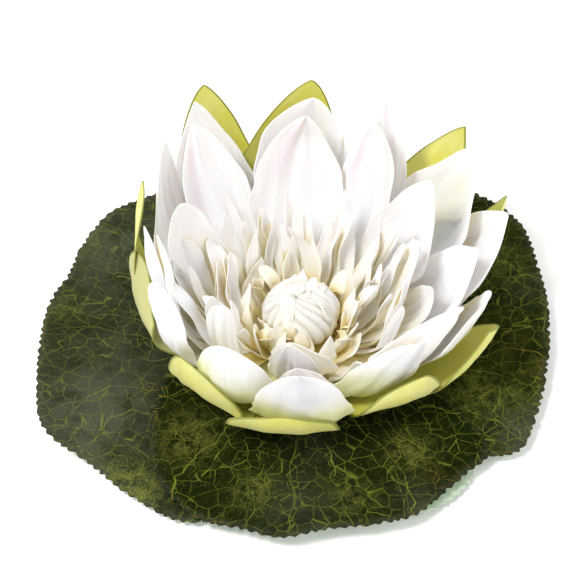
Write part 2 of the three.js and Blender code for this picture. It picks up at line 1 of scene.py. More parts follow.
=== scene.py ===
# A cloth water lily: a white bloom with yellow-green sepals, pinned on round toothed leaves.
# Shapes are worked out in millimetres on grids of points, and go into the meshes in metres.
import bpy
import math
import numpy as np
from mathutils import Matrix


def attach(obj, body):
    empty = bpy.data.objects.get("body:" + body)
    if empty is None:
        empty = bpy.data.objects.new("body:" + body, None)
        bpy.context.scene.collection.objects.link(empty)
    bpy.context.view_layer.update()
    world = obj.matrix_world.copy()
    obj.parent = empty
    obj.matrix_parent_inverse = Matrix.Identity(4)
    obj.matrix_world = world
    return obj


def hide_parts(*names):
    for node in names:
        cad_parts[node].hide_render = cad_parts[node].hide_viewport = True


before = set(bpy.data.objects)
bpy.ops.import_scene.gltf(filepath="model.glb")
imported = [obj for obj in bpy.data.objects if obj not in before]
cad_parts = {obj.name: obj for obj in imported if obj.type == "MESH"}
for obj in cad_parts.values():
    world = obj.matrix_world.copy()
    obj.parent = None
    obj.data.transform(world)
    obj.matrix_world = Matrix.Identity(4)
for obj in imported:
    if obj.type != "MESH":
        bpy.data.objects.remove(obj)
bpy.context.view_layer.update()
print("frame loaded")

scene = bpy.context.scene
mm = 0.001
chance = np.random.default_rng(21)

view = {
    "target": (-0.0020, 0.0106, 0.0136),
    "elevation": 48.0,      # degrees above the floor
    "distance": 0.520,
    "sensor": 36,
    "lens": 127.45,
    "nearest": 0.01,
}
studio = {
    "world": 0.78,
    "worldColour": (1.0, 0.995, 0.985, 1),
    "floorReach": 3.0,
    "floor": {"Base Color": (0.93, 0.93, 0.935, 1), "Roughness": 0.9, "Specular IOR Level": 0.1},
    # place, aim, size, power, colour
    "lamps": {
        "keyLamp": [(-0.34, -0.28, 0.76), (0, 0, 0.02), 0.22, 5.3, (1, 0.995, 0.98)],
        "backLamp": [(-0.10, 0.75, 0.55), (0, 0, 0.01), 0.6, 2.2, (0.98, 0.98, 1)],
        "sideLamp": [(0.75, -0.25, 0.5), (0, 0, 0.02), 0.6, 2.0, (1, 0.98, 0.95)],
    },
}


def addObject(name, data):
    made = bpy.data.objects.new(name, data)
    scene.collection.objects.link(made)
    return made


def newMaterial(name):
    material = bpy.data.materials.new(name)
    material.use_nodes = True
    return material, material.node_tree


def setInputs(node, values):
    # Plain numbers and colours for the node's inputs, by name.
    for name, value in values.items():
        node.inputs[name].default_value = value


def aim(thing, place, target):
    # The thing's -Z looks from its place to the target, with its Y upwards.
    step = np.array(target, float) - np.array(place, float)
    flat = math.hypot(step[0], step[1])
    thing.location = place
    thing.rotation_euler = (math.atan2(flat, -step[2]), 0, math.atan2(step[1], step[0]) - math.pi / 2)


def buildStudio():
    # The camera stands at the given distance and elevation in front of its target.
    rise = math.radians(view["elevation"])
    camera = addObject("camera", bpy.data.cameras.new("camera"))
    x, y, z = view["target"]
    place = (x, y - view["distance"] * math.cos(rise), z + view["distance"] * math.sin(rise))
    aim(camera, place, view["target"])
    camera.data.sensor_width = view["sensor"]
    camera.data.lens = view["lens"]
    camera.data.clip_start = view["nearest"]
    scene.camera = camera
    for name, (spot, target, size, power, colour) in studio["lamps"].items():
        lamp = bpy.data.lights.new(name, "AREA")
        lamp.shape = "DISK"
        lamp.size = size
        lamp.energy = power
        lamp.color = colour
        aim(addObject(name, lamp), spot, target)
    world = bpy.data.worlds.new("softWhite")
    world.use_nodes = True
    light = {"Color": studio["worldColour"], "Strength": studio["world"]}
    setInputs(world.node_tree.nodes["Background"], light)
    scene.world = world
    scene.view_settings.view_transform = "Standard"
    floor = bpy.data.meshes.new("floor")
    reach = studio["floorReach"]
    corners = [(-reach, -reach, 0), (reach, -reach, 0), (reach, reach, 0), (-reach, reach, 0)]
    floor.from_pydata(corners, [], [(0, 1, 2, 3)])
    paper, tree = newMaterial("palePaper")
    setInputs(tree.nodes["Principled BSDF"], studio["floor"])
    floor.materials.append(paper)
    addObject("floor", floor)


buildStudio()
print("camera, lights and floor made")


class Term:
    # One output of a node. Sums and products with numbers and other terms add the nodes for them.
    def __init__(self, socket):
        self.socket = socket
        self.tree = socket.id_data

    def calc(self, operation, *others):
        return put(self.tree, "ShaderNodeMath", dict(enumerate((self, *others))), operation=operation)

    def __add__(self, other):
        return self.calc("ADD", other)

    def __sub__(self, other):
        return self.calc("SUBTRACT", other)

    def __mul__(self, other):
        return self.calc("MULTIPLY", other)

    def __truediv__(self, other):
        return self.calc("DIVIDE", other)

    def __rtruediv__(self, other):
        return put(self.tree, "ShaderNodeMath", {0: other, 1: self}, operation="DIVIDE")

    def atMost(self, other):
        return self.calc("MINIMUM", other)

    def atLeast(self, other):
        return self.calc("MAXIMUM", other)


def put(tree, kind, values, output=0, **settings):
    # One node. settings are its properties; values are its inputs by name or number, as numbers,
    # colours or terms. The result is the output of that name or number.
    made = tree.nodes.new(kind)
    for name, value in settings.items():
        setattr(made, name, value)
    for key, value in values.items():
        if isinstance(value, Term):
            tree.links.new(value.socket, made.inputs[key])
        else:
            made.inputs[key].default_value = value
    return Term(made.outputs[output])


def ease(value, low, high, start=0.0, end=1.0):
    # From start to end as the value passes from low to high, with soft ends.
    values = {"Value": value, "From Min": low, "From Max": high, "To Min": start, "To Max": end}
    return put(value.tree, "ShaderNodeMapRange", values, interpolation_type="SMOOTHSTEP")


def blend(share, first, second, how="MIX"):
    values = {0: share, 6: first, 7: second}
    return put(share.tree, "ShaderNodeMix", values, 2, data_type="RGBA", blend_type=how)


def noise(vector, scale, detail=2.0, rough=0.5, output="Fac"):
    values = {"Vector": vector, "Scale": scale, "Detail": detail, "Roughness": rough}
    return put(vector.tree, "ShaderNodeTexNoise", values, output)


def stretched(vector, scale, turn=0.0):
    values = {"Vector": vector, "Scale": scale, "Rotation": (0, 0, turn)}
    return put(vector.tree, "ShaderNodeMapping", values)


def combine(vector, operation, values):
    return put(vector.tree, "ShaderNodeVectorMath", {0: vector, **values}, operation=operation)


def attribute(tree, name):
    return put(tree, "ShaderNodeAttribute", {}, "Fac", attribute_name=name)


def effect(name, inputs, outputs, build):
    # A shader group. build works out its outputs from its inputs, both in their order.
    tree = bpy.data.node_groups.new(name, "ShaderNodeTree")
    for side, labels in (("INPUT", inputs), ("OUTPUT", outputs)):
        for label in labels:
            kind = "NodeSocketVector" if label == "vector" else "NodeSocketFloat"
            tree.interface.new_socket(label, in_out=side, socket_type=kind)
    given = tree.nodes.new("NodeGroupInput").outputs
    results = tree.nodes.new("NodeGroupOutput").inputs
    for label, term in zip(outputs, build(*[Term(given[label]) for label in inputs])):
        tree.links.new(term.socket, results[label])
    return tree


def use(tree, group, **values):
    # The group in a tree, with its outputs by name.
    made = put(tree, "ShaderNodeGroup", values, node_tree=group).socket.node
    return {socket.name: Term(socket) for socket in made.outputs}


def lineMask(away, width):
    # 1 on a line of that width and 0 beside it, by the distance away from its middle.
    return ease(away / (width * 0.5), 0.4, 1.3, 1.0, 0.0)


def weaveOf(vector, pitch):
    # Plain weave: the product of two waves, one for the threads of each direction, made a little
    # uneven by noise. Height is their relief, tone the same threads as light and dark.
    turn = math.tau / pitch
    warp, weft = ((put(vector.tree, "ShaderNodeSeparateXYZ", {0: vector}, side) * turn).calc("SINE")
                  for side in (0, 1))
    over = warp * weft
    return over * 0.25 + noise(vector, 2.0, 3.0, 0.6), over * 0.2 + noise(vector, 4.0, 2.0, 0.7)


def fibresOf(vector, coarse, fine, seed):
    # Pressed lengthwise fibres: noise drawn out along the cloth, coarse and fine.
    offset = put(vector.tree, "ShaderNodeCombineXYZ", {2: seed * 37.0})
    drawnOut = stretched(combine(vector, "ADD", {1: offset}), (1.0, 0.07, 1.0))
    streaks = noise(drawnOut, fine, 2.0, 0.55)
    return streaks * 0.35 + noise(drawnOut, coarse), ease(streaks, 0.35, 0.7)


def netOf(vector, cell, width, wobble, missing):
    # A net of veins: the borders of wobbly cells, a few of them missing. Tone differs from cell to
    # cell. Cell, width and wobble are in millimetres.
    wave = combine(noise(vector, 0.4, 3.0, 0.4, "Color"), "SUBTRACT", {1: (0.5, 0.5, 0.5)})
    bent = combine(vector, "ADD", {1: combine(wave, "SCALE", {"Scale": wobble})})
    scale = 1.0 / cell
    cells = {"Vector": combine(bent, "MULTIPLY", {1: (1, 1, 0)}), "Scale": scale, "Randomness": 0.9}
    border = put(vector.tree, "ShaderNodeTexVoronoi", cells, "Distance", feature="DISTANCE_TO_EDGE")
    tint = put(vector.tree, "ShaderNodeTexVoronoi", cells, "Color", feature="F1")
    present = ease(noise(vector, scale * 1.6, 2.0, 0.6) - missing, -0.03, 0.05)
    tone = put(vector.tree, "ShaderNodeSeparateColor", {0: tint})
    return lineMask(border * cell, width) * present, tone


def mainOf(vector, turn, radial, width):
    # Veins that run out from the pin: the turn, bent by noise, is cut into equal parts, and the
    # distance to the middle of a part, times the radius, is the distance to its vein. Twice as many
    # run through the outer part of the leaf.
    bend = noise(vector, 0.045) * 0.45 + turn
    bend = noise(vector, 0.35, 3.0, 0.45) / radial * 1.5 + bend
    sets = []
    for parts, start, missing in ((11, 8.0, 0.3), (24, 30.0, 0.45)):
        off = ((bend * (parts / math.tau)).calc("FRACT") - 0.5).calc("ABSOLUTE")
        line = lineMask(off * (math.tau / parts) * radial, width)
        gate = noise(vector, 0.07 * math.sqrt(parts / 11), 2.0, 0.6)
        sets.append(line * ease(radial, start, start + 4) * ease(gate, missing, missing + 0.08))
    return [sets[0].atLeast(sets[1])]


clothWeave = effect("clothWeave", ("vector", "pitch"), ("height", "tone"), weaveOf)
pressedFibres = effect("pressedFibres", ("vector", "coarse", "fine", "seed"), ("height", "streak"),
                       fibresOf)
veinNet = effect("veinNet", ("vector", "cell", "width", "wobble", "missing"), ("mask", "tone"), netOf)
mainVeins = effect("mainVeins", ("vector", "turn", "radial", "width"), ("mask",), mainOf)


def millimetres(tree):
    # Object coordinates in millimetres.
    return stretched(put(tree, "ShaderNodeTexCoord", {}, "Object"), (1000, 1000, 1000))


def clothMap(tree):
    # The cloth's own map: millimetres across and along each blade. The mesh holds it in hundredths.
    return stretched(put(tree, "ShaderNodeUVMap", {}, uv_map="cloth"), (100, 100, 100))


def finish(material, colour, roughness, relief, depth, surface):
    # Joins colour, roughness and relief, depth mm deep, to the shader and sets its plain values.
    tree = material.node_tree
    shader = tree.nodes["Principled BSDF"]
    bump = put(tree, "ShaderNodeBump", {"Height": relief, "Distance": depth * mm, "Strength": 1.0})
    for name, term in (("Base Color", colour), ("Roughness", roughness), ("Normal", bump)):
        tree.links.new(term.socket, shader.inputs[name])
    setInputs(shader, surface)
    return material


def quadsOf(rows, columns, first):
    # The four point numbers of each cell of a grid whose points are numbered row by row from first.
    index = first + np.arange(rows * columns).reshape(rows, columns)
    corners = (index[:-1, :-1], index[:-1, 1:], index[1:, 1:], index[1:, :-1])
    return np.stack(corners, axis=-1).reshape(-1, 4)


def meshOf(name, sheets):
    # One mesh from several sheets. A sheet has its points in mm, its cloth map in mm and its values.
    points = np.concatenate([sheet["points"].reshape(-1, 3) for sheet in sheets])
    flat = np.concatenate([sheet["map"].reshape(-1, 2) for sheet in sheets])
    grids = [sheet["points"].shape[:2] for sheet in sheets]
    starts = np.cumsum([0] + [rows * columns for rows, columns in grids])
    quads = np.concatenate([quadsOf(*grid, start) for grid, start in zip(grids, starts)])
    mesh = bpy.data.meshes.new(name)
    mesh.from_pydata(points * mm, [], quads, shade_flat=False)
    layer = mesh.uv_layers.new(name="cloth")
    layer.data.foreach_set("uv", (flat[quads.ravel()] / 100).ravel())
    for label in sheets[0]["values"]:
        column = [np.broadcast_to(sheet["values"][label], grid).ravel()
                  for sheet, grid in zip(sheets, grids)]
        values = mesh.attributes.new(label, "FLOAT", "POINT").data
        values.foreach_set("value", np.concatenate(column).astype(np.float32))
    return mesh


# thickness of the cloth of each piece, in mm
clothThickness = {
    "sepalBlades": 0.3, "outerPetals": 0.22, "innerPetals": 0.22, "narrowPetals": 0.2, "budCloth": 0.25,
    "underLeaf": 0.45, "leftLeaf": 0.45, "rightLeaf": 0.45, "frontLeaf": 0.45,
}


def cloth(name, sheets, materials, node):
    # The sheets as one piece of cloth with a thickness; it rides on the body and stands for the node.
    mesh = meshOf(name, sheets)
    for material in materials:
        mesh.materials.append(material)
    piece = addObject(name, mesh)
    solid = piece.modifiers.new("thickness", "SOLIDIFY")
    solid.thickness = clothThickness[name] * mm
    solid.offset = 0.0
    solid.material_offset = len(materials) - 1
    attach(piece, "root")
    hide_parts(node)


def smooth(value, low, high):
    # From 0 to 1 as the value passes from low to high, with soft ends.
    share = np.clip((value - low) / (high - low), 0, 1)
    return share * share * (3 - 2 * share)


def joined(*parts):
    # One array from its coordinates, which may be rows, columns or single numbers.
    return np.stack(np.broadcast_arrays(*parts), axis=-1)


def around(turn, radius, height):
    # Points at a turn and a radius round the pin, at a height.
    return joined(radius * np.cos(turn), radius * np.sin(turn), height)


# the labels: a pink stain, the cloth's own yellow-green base partly painted green light from the sepals
# behind, painted beige shade (on the bud also an even beige tint), and painted grey shade
stainAndPaintedLightLabels = ("blush", "lime", "dusk", "mist")
bladeColumns = ("azimuth", "radius", "height", "width", "lean", "less", "more", "roll", "round", "peak",
                "belly", "rise", "hook", "rootTurn", "hug")
# what a blade has when its own entry doesn't say
bladeUsual = {
    "lean": 0, "less": 1, "more": 1, "roll": 0, "rootTurn": 0, "ribs": 2.5, "ribDepth": 0.22,
    "crease": 0.3, "creaseWidth": 0.07, "waves": 1.6, "ruffle": 0.7, "swell": 0.7, "tip": 0,
    "tipFrom": 0.72, "sway": 0, "folds": (), "stains": (), "chanceFolds": 5, "foldDepth": 0.55,
    "raggedness": 0.035,
}
# the bowl in which the petals turn to cream and, lowest, ochre, partly painted shade of the deep bowl:
# centre height and reach outwards and upwards
bowl = {"centre": 10, "reach": 40, "rise": 36}


def widthShare(s, blade):
    # The width as a share of the greatest: from the base up to the peak as a sine, to the power 1.2,
    # and past the peak down to nothing as a parabola, to the power of the blade's round.
    climb = np.sin(np.clip(s / blade["peak"], 0, 1) * np.pi / 2) ** 1.2
    rise = blade["base"] + (1 - blade["base"]) * climb
    past = np.clip((s - blade["peak"]) / (1 - blade["peak"]), 0, 1)
    return np.where(s < blade["peak"], rise, np.maximum(1 - past ** 2, 0) ** blade["round"])


def band(s, t, start, end, width, low, high):
    # A soft band across the blade from start to end as s goes from 0 to 1, between low and high.
    line = start + (end - start) * s
    window = smooth(s, low - 0.1, low + 0.1) * (1 - smooth(s, high - 0.1, high + 0.1) * (high < 1))
    return np.exp(-((t - line) / width) ** 2) * window


def reliefOf(blade, s, t, half, phases, chance):
    # How far the cloth stands off its smooth surface, in mm, inwards positive: pressed ribs, a crease
    # along the midrib, a wavy rim, a swell, a bent tip, chance folds and the blade's own folds.
    body = np.sin(np.pi * np.clip(s, 0, 1)) ** 0.7
    bulk = half / 12
    ribPhase = chance.uniform(-0.6, 0.6)
    raised = blade["ribDepth"] * np.cos(math.tau * blade["ribs"] * t + ribPhase) * body * (1 - t ** 4)
    raised -= blade["crease"] * np.exp(-(t / blade["creaseWidth"]) ** 2) * body
    phase = np.where(t < 0, phases[0], phases[1])
    wavy = np.abs(t) ** 2.5 * np.sin(math.tau * blade["waves"] * s + phase) * smooth(s, 0.2, 0.6)
    raised += blade["ruffle"] * wavy * bulk
    swollen = np.sin(np.pi * (1.3 * s + phases[0])) * np.cos(np.pi * 0.5 * t)
    raised += blade["swell"] * swollen * bulk
    raised += blade["tip"] * smooth(s, blade["tipFrom"], 1.0) ** 1.3
    for i in range(blade["chanceFolds"]):
        place, drift, depth, width = chance.uniform((-0.8, -0.2, -1, 0.07), (0.8, 0.2, 1, 0.2))
        fold = band(s, t, place, place + drift, width, 0.1, 0.95) * body
        raised += blade["foldDepth"] * depth * fold
    for start, end, depth, width, low, high in blade["folds"]:
        raised += depth * band(s, t, start, end, width, low, high)
    return raised


def bladeSheet(blade, rows, columns, chance):
    # A blade is a surface over s, from root to tip, and t, from side to side. Its midrib is a cubic
    # curve in the upright plane of its azimuth: out from the root, then up to the tip. Across, it is
    # an arc. The relief is added along its normal.
    s = np.sin(np.linspace(0, 1, rows + 1) * np.pi / 2)[:, None]
    even = np.linspace(-1, 1, columns + 1)[None, :]
    t = 0.5 * even + 0.5 * np.sin(even * np.pi / 2)
    root = np.array(blade["root"], float)
    reach = (blade["radius"], blade["height"]) - root
    knots = root + reach * [(0, 0), (blade["belly"], 0), (blade["hook"], blade["rise"]), (1, 1)]
    weights = [(1 - s) ** 3, 3 * s * (1 - s) ** 2, 3 * s * s * (1 - s), s ** 3]
    slopes = [3 * (1 - s) ** 2, 6 * s * (1 - s), 3 * s * s]
    midRadius, midHeight = (sum(w * k for w, k in zip(weights, knots[:, n])) for n in (0, 1))
    goOut, goUp = (sum(w * k for w, k in zip(slopes, np.diff(knots[:, n]))) for n in (0, 1))
    length = np.hypot(goOut, goUp)
    goOut, goUp = goOut / length, goUp / length
    turn = np.radians(blade["azimuth"] + blade["rootTurn"] * (1 - s))
    along = around(turn + np.pi / 2, 1, 0)
    inward = around(turn, -goUp, goOut)
    roll = (math.radians(blade["roll"]) * s)[..., None]
    side = along * np.cos(roll) + inward * np.sin(roll)
    face = inward * np.cos(roll) - along * np.sin(roll)
    phases = chance.uniform(0, 2 * np.pi, 6)
    ragged = np.sin(math.tau * 1.7 * s + np.where(t < 0, phases[2], phases[3]))
    ragged = ragged + 0.6 * np.sin(math.tau * 4.3 * s + np.where(t < 0, phases[4], phases[5]))
    half = blade["width"] / 2 * np.maximum(widthShare(s, blade), 0.02)
    halfAt = half * np.where(t < 0, blade["less"], blade["more"]) * (1 + blade["raggedness"] * ragged)
    fold = np.clip(blade["hug"] * half * np.clip(goUp, 0.05, 1) / np.maximum(midRadius, 1), 0.02, 1.25)
    angle = fold * t
    lengthwise = around(turn, midRadius, midHeight)
    points = (lengthwise + side * (halfAt * np.sin(angle) / fold)[..., None]
              + face * (halfAt * (1 - np.cos(angle)) / fold)[..., None])
    normal = face * np.cos(angle)[..., None] - side * np.sin(angle)[..., None]
    points += normal * reliefOf(blade, s, t, half, phases, chance)[..., None]
    shift = blade["lean"] * s * s + blade["sway"] * np.sin(math.tau * s + phases[2]) * s
    points += along * shift[..., None]
    steps = np.linalg.norm(np.diff(lengthwise[:, 0], axis=0), axis=1)
    run = np.concatenate([[0], np.cumsum(steps)])[:, None]
    edge = np.minimum((1 - np.abs(t)) * halfAt, (run[-1, 0] - run) + 0.3 * half * (1 - np.abs(t)))
    # bands of pink stain, green base with painted green light, painted beige shade and painted grey shade
    tints = {label: np.zeros(edge.shape) for label in stainAndPaintedLightLabels}
    for label, start, end, amount, width, low, high in blade["stains"]:
        tints[label] += amount * band(s, t, start, end, width, low, high)
    outward = np.hypot(points[..., 0], points[..., 1]) / bowl["reach"]
    deep = 1 - np.clip(np.hypot(outward, (points[..., 2] - bowl["centre"]) / bowl["rise"]), 0, 1)
    return {
        "points": points,
        "map": joined(t * half, run) + chance.uniform(0, 60, 2),
        "values": {"along": s, "edge": edge, "deep": deep, "shade": chance.uniform(0, 1), **tints},
    }


def bladesOf(kind, table, chance):
    # A sheet for each row. A row has the blade's columns in order and may end in a dictionary of what
    # else is its own.
    sheets = []
    for row in table:
        own = row[-1] if isinstance(row[-1], dict) else {}
        numbers = row[:-1] if own else row
        blade = {**bladeUsual, **kind, **dict(zip(bladeColumns, numbers)), **own}
        sheets.append(bladeSheet(blade, kind["rows"], kind["columns"], chance))
    return sheets


def plainValues(points, deep, shade):
    # The values of a sheet without edges, stains, painted shade or painted light.
    blank = np.zeros(points.shape[:2])
    return {"along": blank, "edge": blank + 5, "deep": deep + blank, "shade": shade,
            **{label: blank for label in stainAndPaintedLightLabels}}


def discSheet(inner, outer, height):
    # A flat ring round the pin.
    turn = np.linspace(0, 2 * np.pi, 49)[None, :]
    radius = np.linspace(outer, inner, 3)[:, None]
    points = around(turn, radius, height)
    return {"points": points, "map": points[..., :2], "values": plainValues(points, 1, 0.5)}


sepalFinish = {
    "colour": (0.70, 0.675, 0.075, 1),
    "pale": (0.80, 0.785, 0.40, 1),
    "deep": (0.46, 0.45, 0.05, 1),
    # painted grey shade, laid where a sepal is marked for it
    "mist": (0.52, 0.51, 0.22, 1),
    "edge": (0.20, 0.22, 0.025, 1),
    "surface": {"Specular IOR Level": 0.25, "Sheen Weight": 0.1},
}


def sepalMaterial(name, pale, edgeWidth):
    # Yellow-green, paler by blotches, streaks and threads, deeper at the root, darker with painted grey
    # shade where marked, with a dark cut edge.
    material, tree = newMaterial(name)
    here = clothMap(tree)
    fibres = use(tree, pressedFibres, vector=here, coarse=0.5, fine=2.6, seed=attribute(tree, "shade"))
    weave = use(tree, clothWeave, vector=here, pitch=0.32)
    blotch = ease(noise(millimetres(tree), 0.11, 3.0, 0.6), 0.3, 0.7)
    share = fibres["streak"] * 0.14 + (blotch * 0.35 + pale)
    share = (weave["tone"] - 0.5) * 0.55 + share
    body = blend(share, sepalFinish["colour"], sepalFinish["pale"])
    body = blend(ease(attribute(tree, "along"), 0.0, 0.45, 0.6, 0.0), body, sepalFinish["deep"])
    # painted grey shade
    body = blend(attribute(tree, "mist"), body, sepalFinish["mist"])
    line = ease(attribute(tree, "edge"), 0.4 * edgeWidth, edgeWidth, 0.85, 0.0)
    colour = blend(line, body, sepalFinish["edge"])
    roughness = ease(fibres["height"], 0.3, 0.9, 0.55, 0.7)
    relief = weave["height"] * 0.35 + fibres["height"]
    return finish(material, colour, roughness, relief, 0.22, sepalFinish["surface"])


petalFinish = {
    "white": (0.95, 0.935, 0.95, 1),
    "warm": (0.94, 0.925, 0.89, 1),
    "cream": (0.93, 0.87, 0.65, 1),
    "ochre": (0.88, 0.72, 0.24, 1),
    "blush": (0.87, 0.66, 0.74, 1),
    # the cloth's own yellow-green base, partly painted green light from the sepals behind
    "lime": (0.72, 0.74, 0.34, 1),
    # painted beige shade; on the bud also an even beige tint
    "dusk": (0.60, 0.53, 0.38, 1),
    # painted grey shade
    "mist": (0.60, 0.585, 0.64, 1),
    # painted shade in the hollows, multiplied in where other cloth stands close
    "paintedHollowShade": (0.98, 0.83, 0.28, 1),
    "room": 5.0,        # mm of free room below which the cloth takes the hollow's colour
    "surface": {
        "Specular IOR Level": 0.25, "Sheen Weight": 0.1, "Subsurface Weight": 0.35,
        "Subsurface Radius": (0.003, 0.0022, 0.0014), "Subsurface Scale": 1.0,
    },
}


def petalMaterial(name, creamFrom, ochreFrom, paintedHollowShare):
    # White at the tip, cream towards the root and ochre right down in the bowl, the ochre partly painted
    # shade. Where other cloth stands close, painted shade makes it darker and yellower, and the stains,
    # painted shade and painted green light lie on top.
    material, tree = newMaterial(name)
    here = clothMap(tree)
    shade = attribute(tree, "shade")
    fibres = use(tree, pressedFibres, vector=here, coarse=0.45, fine=2.2, seed=shade)
    body = blend(fibres["streak"] * 0.25 + shade * 0.3, petalFinish["white"], petalFinish["warm"])
    deep = (fibres["height"] - 0.65) * 0.3 + attribute(tree, "deep")
    body = blend(ease(deep, creamFrom, creamFrom + 0.4), body, petalFinish["cream"])
    body = blend(ease(deep, ochreFrom, ochreFrom + 0.3), body, petalFinish["ochre"])
    # painted shade: ambient occlusion of the cloth within that room
    near = {"Distance": petalFinish["room"] * mm}
    room = put(tree, "ShaderNodeAmbientOcclusion", near, "AO", samples=4)
    paintedHollowShade = ease(room, 0.1, 0.42, 1.0, 0.0) * paintedHollowShare
    body = blend(paintedHollowShade, body, petalFinish["paintedHollowShade"], "MULTIPLY")
    patchy = ease(noise(here, 0.12), 0.3, 0.65, 0.75, 1.0)
    # pink stains, green base with painted green light, painted beige and grey shade
    for label in stainAndPaintedLightLabels:
        body = blend((attribute(tree, label) * patchy).atMost(1.0), body, petalFinish[label])
    weave = use(tree, clothWeave, vector=here, pitch=0.3)["height"]
    roughness = ease(fibres["height"], 0.3, 0.9, 0.5, 0.65)
    return finish(material, body, roughness, weave * 0.2 + fibres["height"], 0.3, petalFinish["surface"])


# the inner petals take more of the painted hollow shade
petalCloth = petalMaterial("petalCloth", 0.12, 0.4, 0.7)
innerCloth = petalMaterial("innerCloth", 0.36, 0.58, 0.88)


sepalKind = {
    "root": (8, 7.0), "base": 0.5, "rows": 36, "columns": 20, "ribs": 1.5, "ribDepth": 0.12,
    "crease": 0.12, "ruffle": 0.35, "chanceFolds": 3, "foldDepth": 0.25, "raggedness": 0.015,
}
sepalTable = [
    (113.8, 56.2, 47.1, 21.7, 1.7, 0.89, 0.92, -11, 0.7, 0.51, 1, 0.3, 1.03, -3.9, 1),
    (91.1, 50.8, 48.6, 28.1, -3.8, 0.76, 1.19, 13, 0.69, 0.54, 1, 0.32, 1.04, 4.7, 0.9),
    (47.7, 56.2, 44.3, 23.7, -4.6, 0.61, 1.04, -14, 0.85, 0.5, 0.99, 0.3, 1, 8.4, 1.1),
    (25, 55.2, 35.2, 23.7, -1.4, 1.04, 1.05, -49, 0.75, 0.5, 0.99, 0.33, 1.01, 6.9, 1.1),
    (343.2, 47.2, 27.9, 29, -1.8, 0.88, 1, -22, 0.85, 0.5, 0.84, 0.37, 1.02, -3.2, 1.6),
    (317, 39.6, 24.9, 34, 1.4, 0.88, 0.4, -28, 0.7, 0.52, 0.9, 0.36, 0.97, 3.2, 0.8),
    (264, 40.1, 26.5, 39.5, 0.2, 0.78, 0.64, 4, 0.6, 0.55, 0.91, 0.37, 0.95, 2.3, 1.2),
    (220, 36.8, 28.9, 33, 0.4, 0.4, 1, 9, 0.5, 0.56, 1, 0.3, 1, -1, 1),
    # this sepal is darkened all over by painted grey shade
    (171, 39.4, 25.2, 27, -3.9, 0.9, 0.9, 36, 0.5, 0.49, 1.09, 0.36, 1.16, 7.3, 1.1,
     {"stains": [("mist", 0, 0, 1.0, 3, 0, 1)]}),
    (156.5, 43.9, 40.6, 13, -4.6, 0.8, 1.15, 30, 0.3, 0.5, 1.08, 0.32, 1.12, 6.4, 1),
]
sepals = bladesOf(sepalKind, sepalTable, chance)
sepalSides = [sepalMaterial("sepalOutside", 0.2, 0.9), sepalMaterial("sepalInside", 0.0, 0.6)]
cloth("sepalBlades", sepals, sepalSides, "sepals")
print("sepals made")

outerKind = {
    "root": (6, 9.1), "base": 0.22, "rows": 44, "columns": 28, "raggedness": 0.05, "foldDepth": 0.75,
    "ruffle": 0.9,
}
# folds: start, end, depth, width, from, to; stains and painted light: name, start, end, amount, width,
# from, to. The pink ones are the cloth's stains, the grey and beige ones painted shade, the lime ones the
# green base with painted green light.
outerTable = [
    (120.1, 50.3, 48.5, 25.7, 1.2, 0.87, 0.89, 8, 0.84, 0.51, 0.87, 0.33, 0.97, -2.9, 2),
    (88.5, 45.3, 47.8, 27.4, -2.2, 0.65, 1.07, 4, 0.71, 0.7, 0.88, 0.39, 1.01, 2.1, 1.9,
     {"stains": [("mist", 0.35, 0.1, 0.6, 0.25, 0.8, 1), ("lime", -0.4, -0.4, 0.25, 0.3, 0.5, 1)]}),
    (64, 47.6, 49.6, 24.5, -0.7, 0.72, 0.98, -9, 0.69, 0.62, 0.88, 0.37, 0.98, 0.9, 2,
     {"stains": [("mist", -0.3, -0.1, 0.65, 0.35, 0.75, 1)]}),
    (35.1, 52, 47.9, 30.4, -3.5, 0.87, 1.1, -24, 0.84, 0.52, 0.87, 0.34, 0.93, 6.6, 2.1,
     {"stains": [("lime", 0.1, 0.1, 0.35, 0.4, 0.4, 0.85), ("dusk", 0.3, 0.3, 0.2, 0.4, 0.4, 0.8)]}),
    (12.3, 50.8, 42.2, 32.9, -1.7, 0.97, 1.14, -23, 0.86, 0.51, 0.86, 0.35, 0.92, 6.2, 2.1),
    (347.1, 45.6, 34.4, 26.7, -1.2, 0.99, 0.84, -20, 0.5, 0.62, 0.82, 0.39, 0.95, 1.6, 2.3),
    (305, 37.1, 35.9, 29, 8.8, 0.92, 0.3, -18, 0.41, 0.57, 0.87, 0.38, 0.93, -2.8, 2.1,
     {"base": 0.6,
      "stains": [("mist", 0.3, 0.3, 0.45, 0.8, 0.6, 1), ("lime", -0.4, -0.4, 1.0, 1.5, 0, 0.78)]}),
    (269.4, 37.4, 38.2, 29.4, 0.3, 0.86, 0.94, -3, 0.49, 0.56, 1, 0.25, 1.03, -0.6, 2,
     {"base": 0.65, "ruffle": 0.4, "foldDepth": 0.3, "swell": 0.3, "raggedness": 0.03,
      "stains": [("mist", 0, 0, 1.1, 0.9, 0.78, 1), ("lime", 0, 0, 0.6, 2, 0, 0.86),
                 ("lime", 0, 0, 0.8, 2, 0, 0.74)]}),
    (237, 34.5, 39, 26, 0.1, 0.66, 0.98, 20, 0.5, 0.59, 1.03, 0.25, 1, 1.5, 2.1,
     {"base": 0.65, "ruffle": 0.6, "swell": 0.5,
      "stains": [("lime", -0.9, -0.75, 1.1, 0.6, 0.2, 0.9), ("lime", 0, 0, 0.8, 2, 0, 0.76)]}),
    (203.1, 35.8, 45.6, 25.1, 4.5, 0.94, 0.88, 13, 0.44, 0.58, 1.01, 0.36, 1.1, -11.5, 2.1),
    (177.8, 36.6, 42.9, 19.8, -2.2, 0.96, 0.97, 24, 0.43, 0.58, 0.92, 0.36, 1.05, 1.3, 1.9),
    (141.5, 45.5, 46, 19.8, -3.7, 0.64, 1, 17, 0.61, 0.56, 0.89, 0.35, 1.01, 4.7, 2),
]
innerKind = {**outerKind, "root": (6, 10), "rows": 42, "columns": 26}
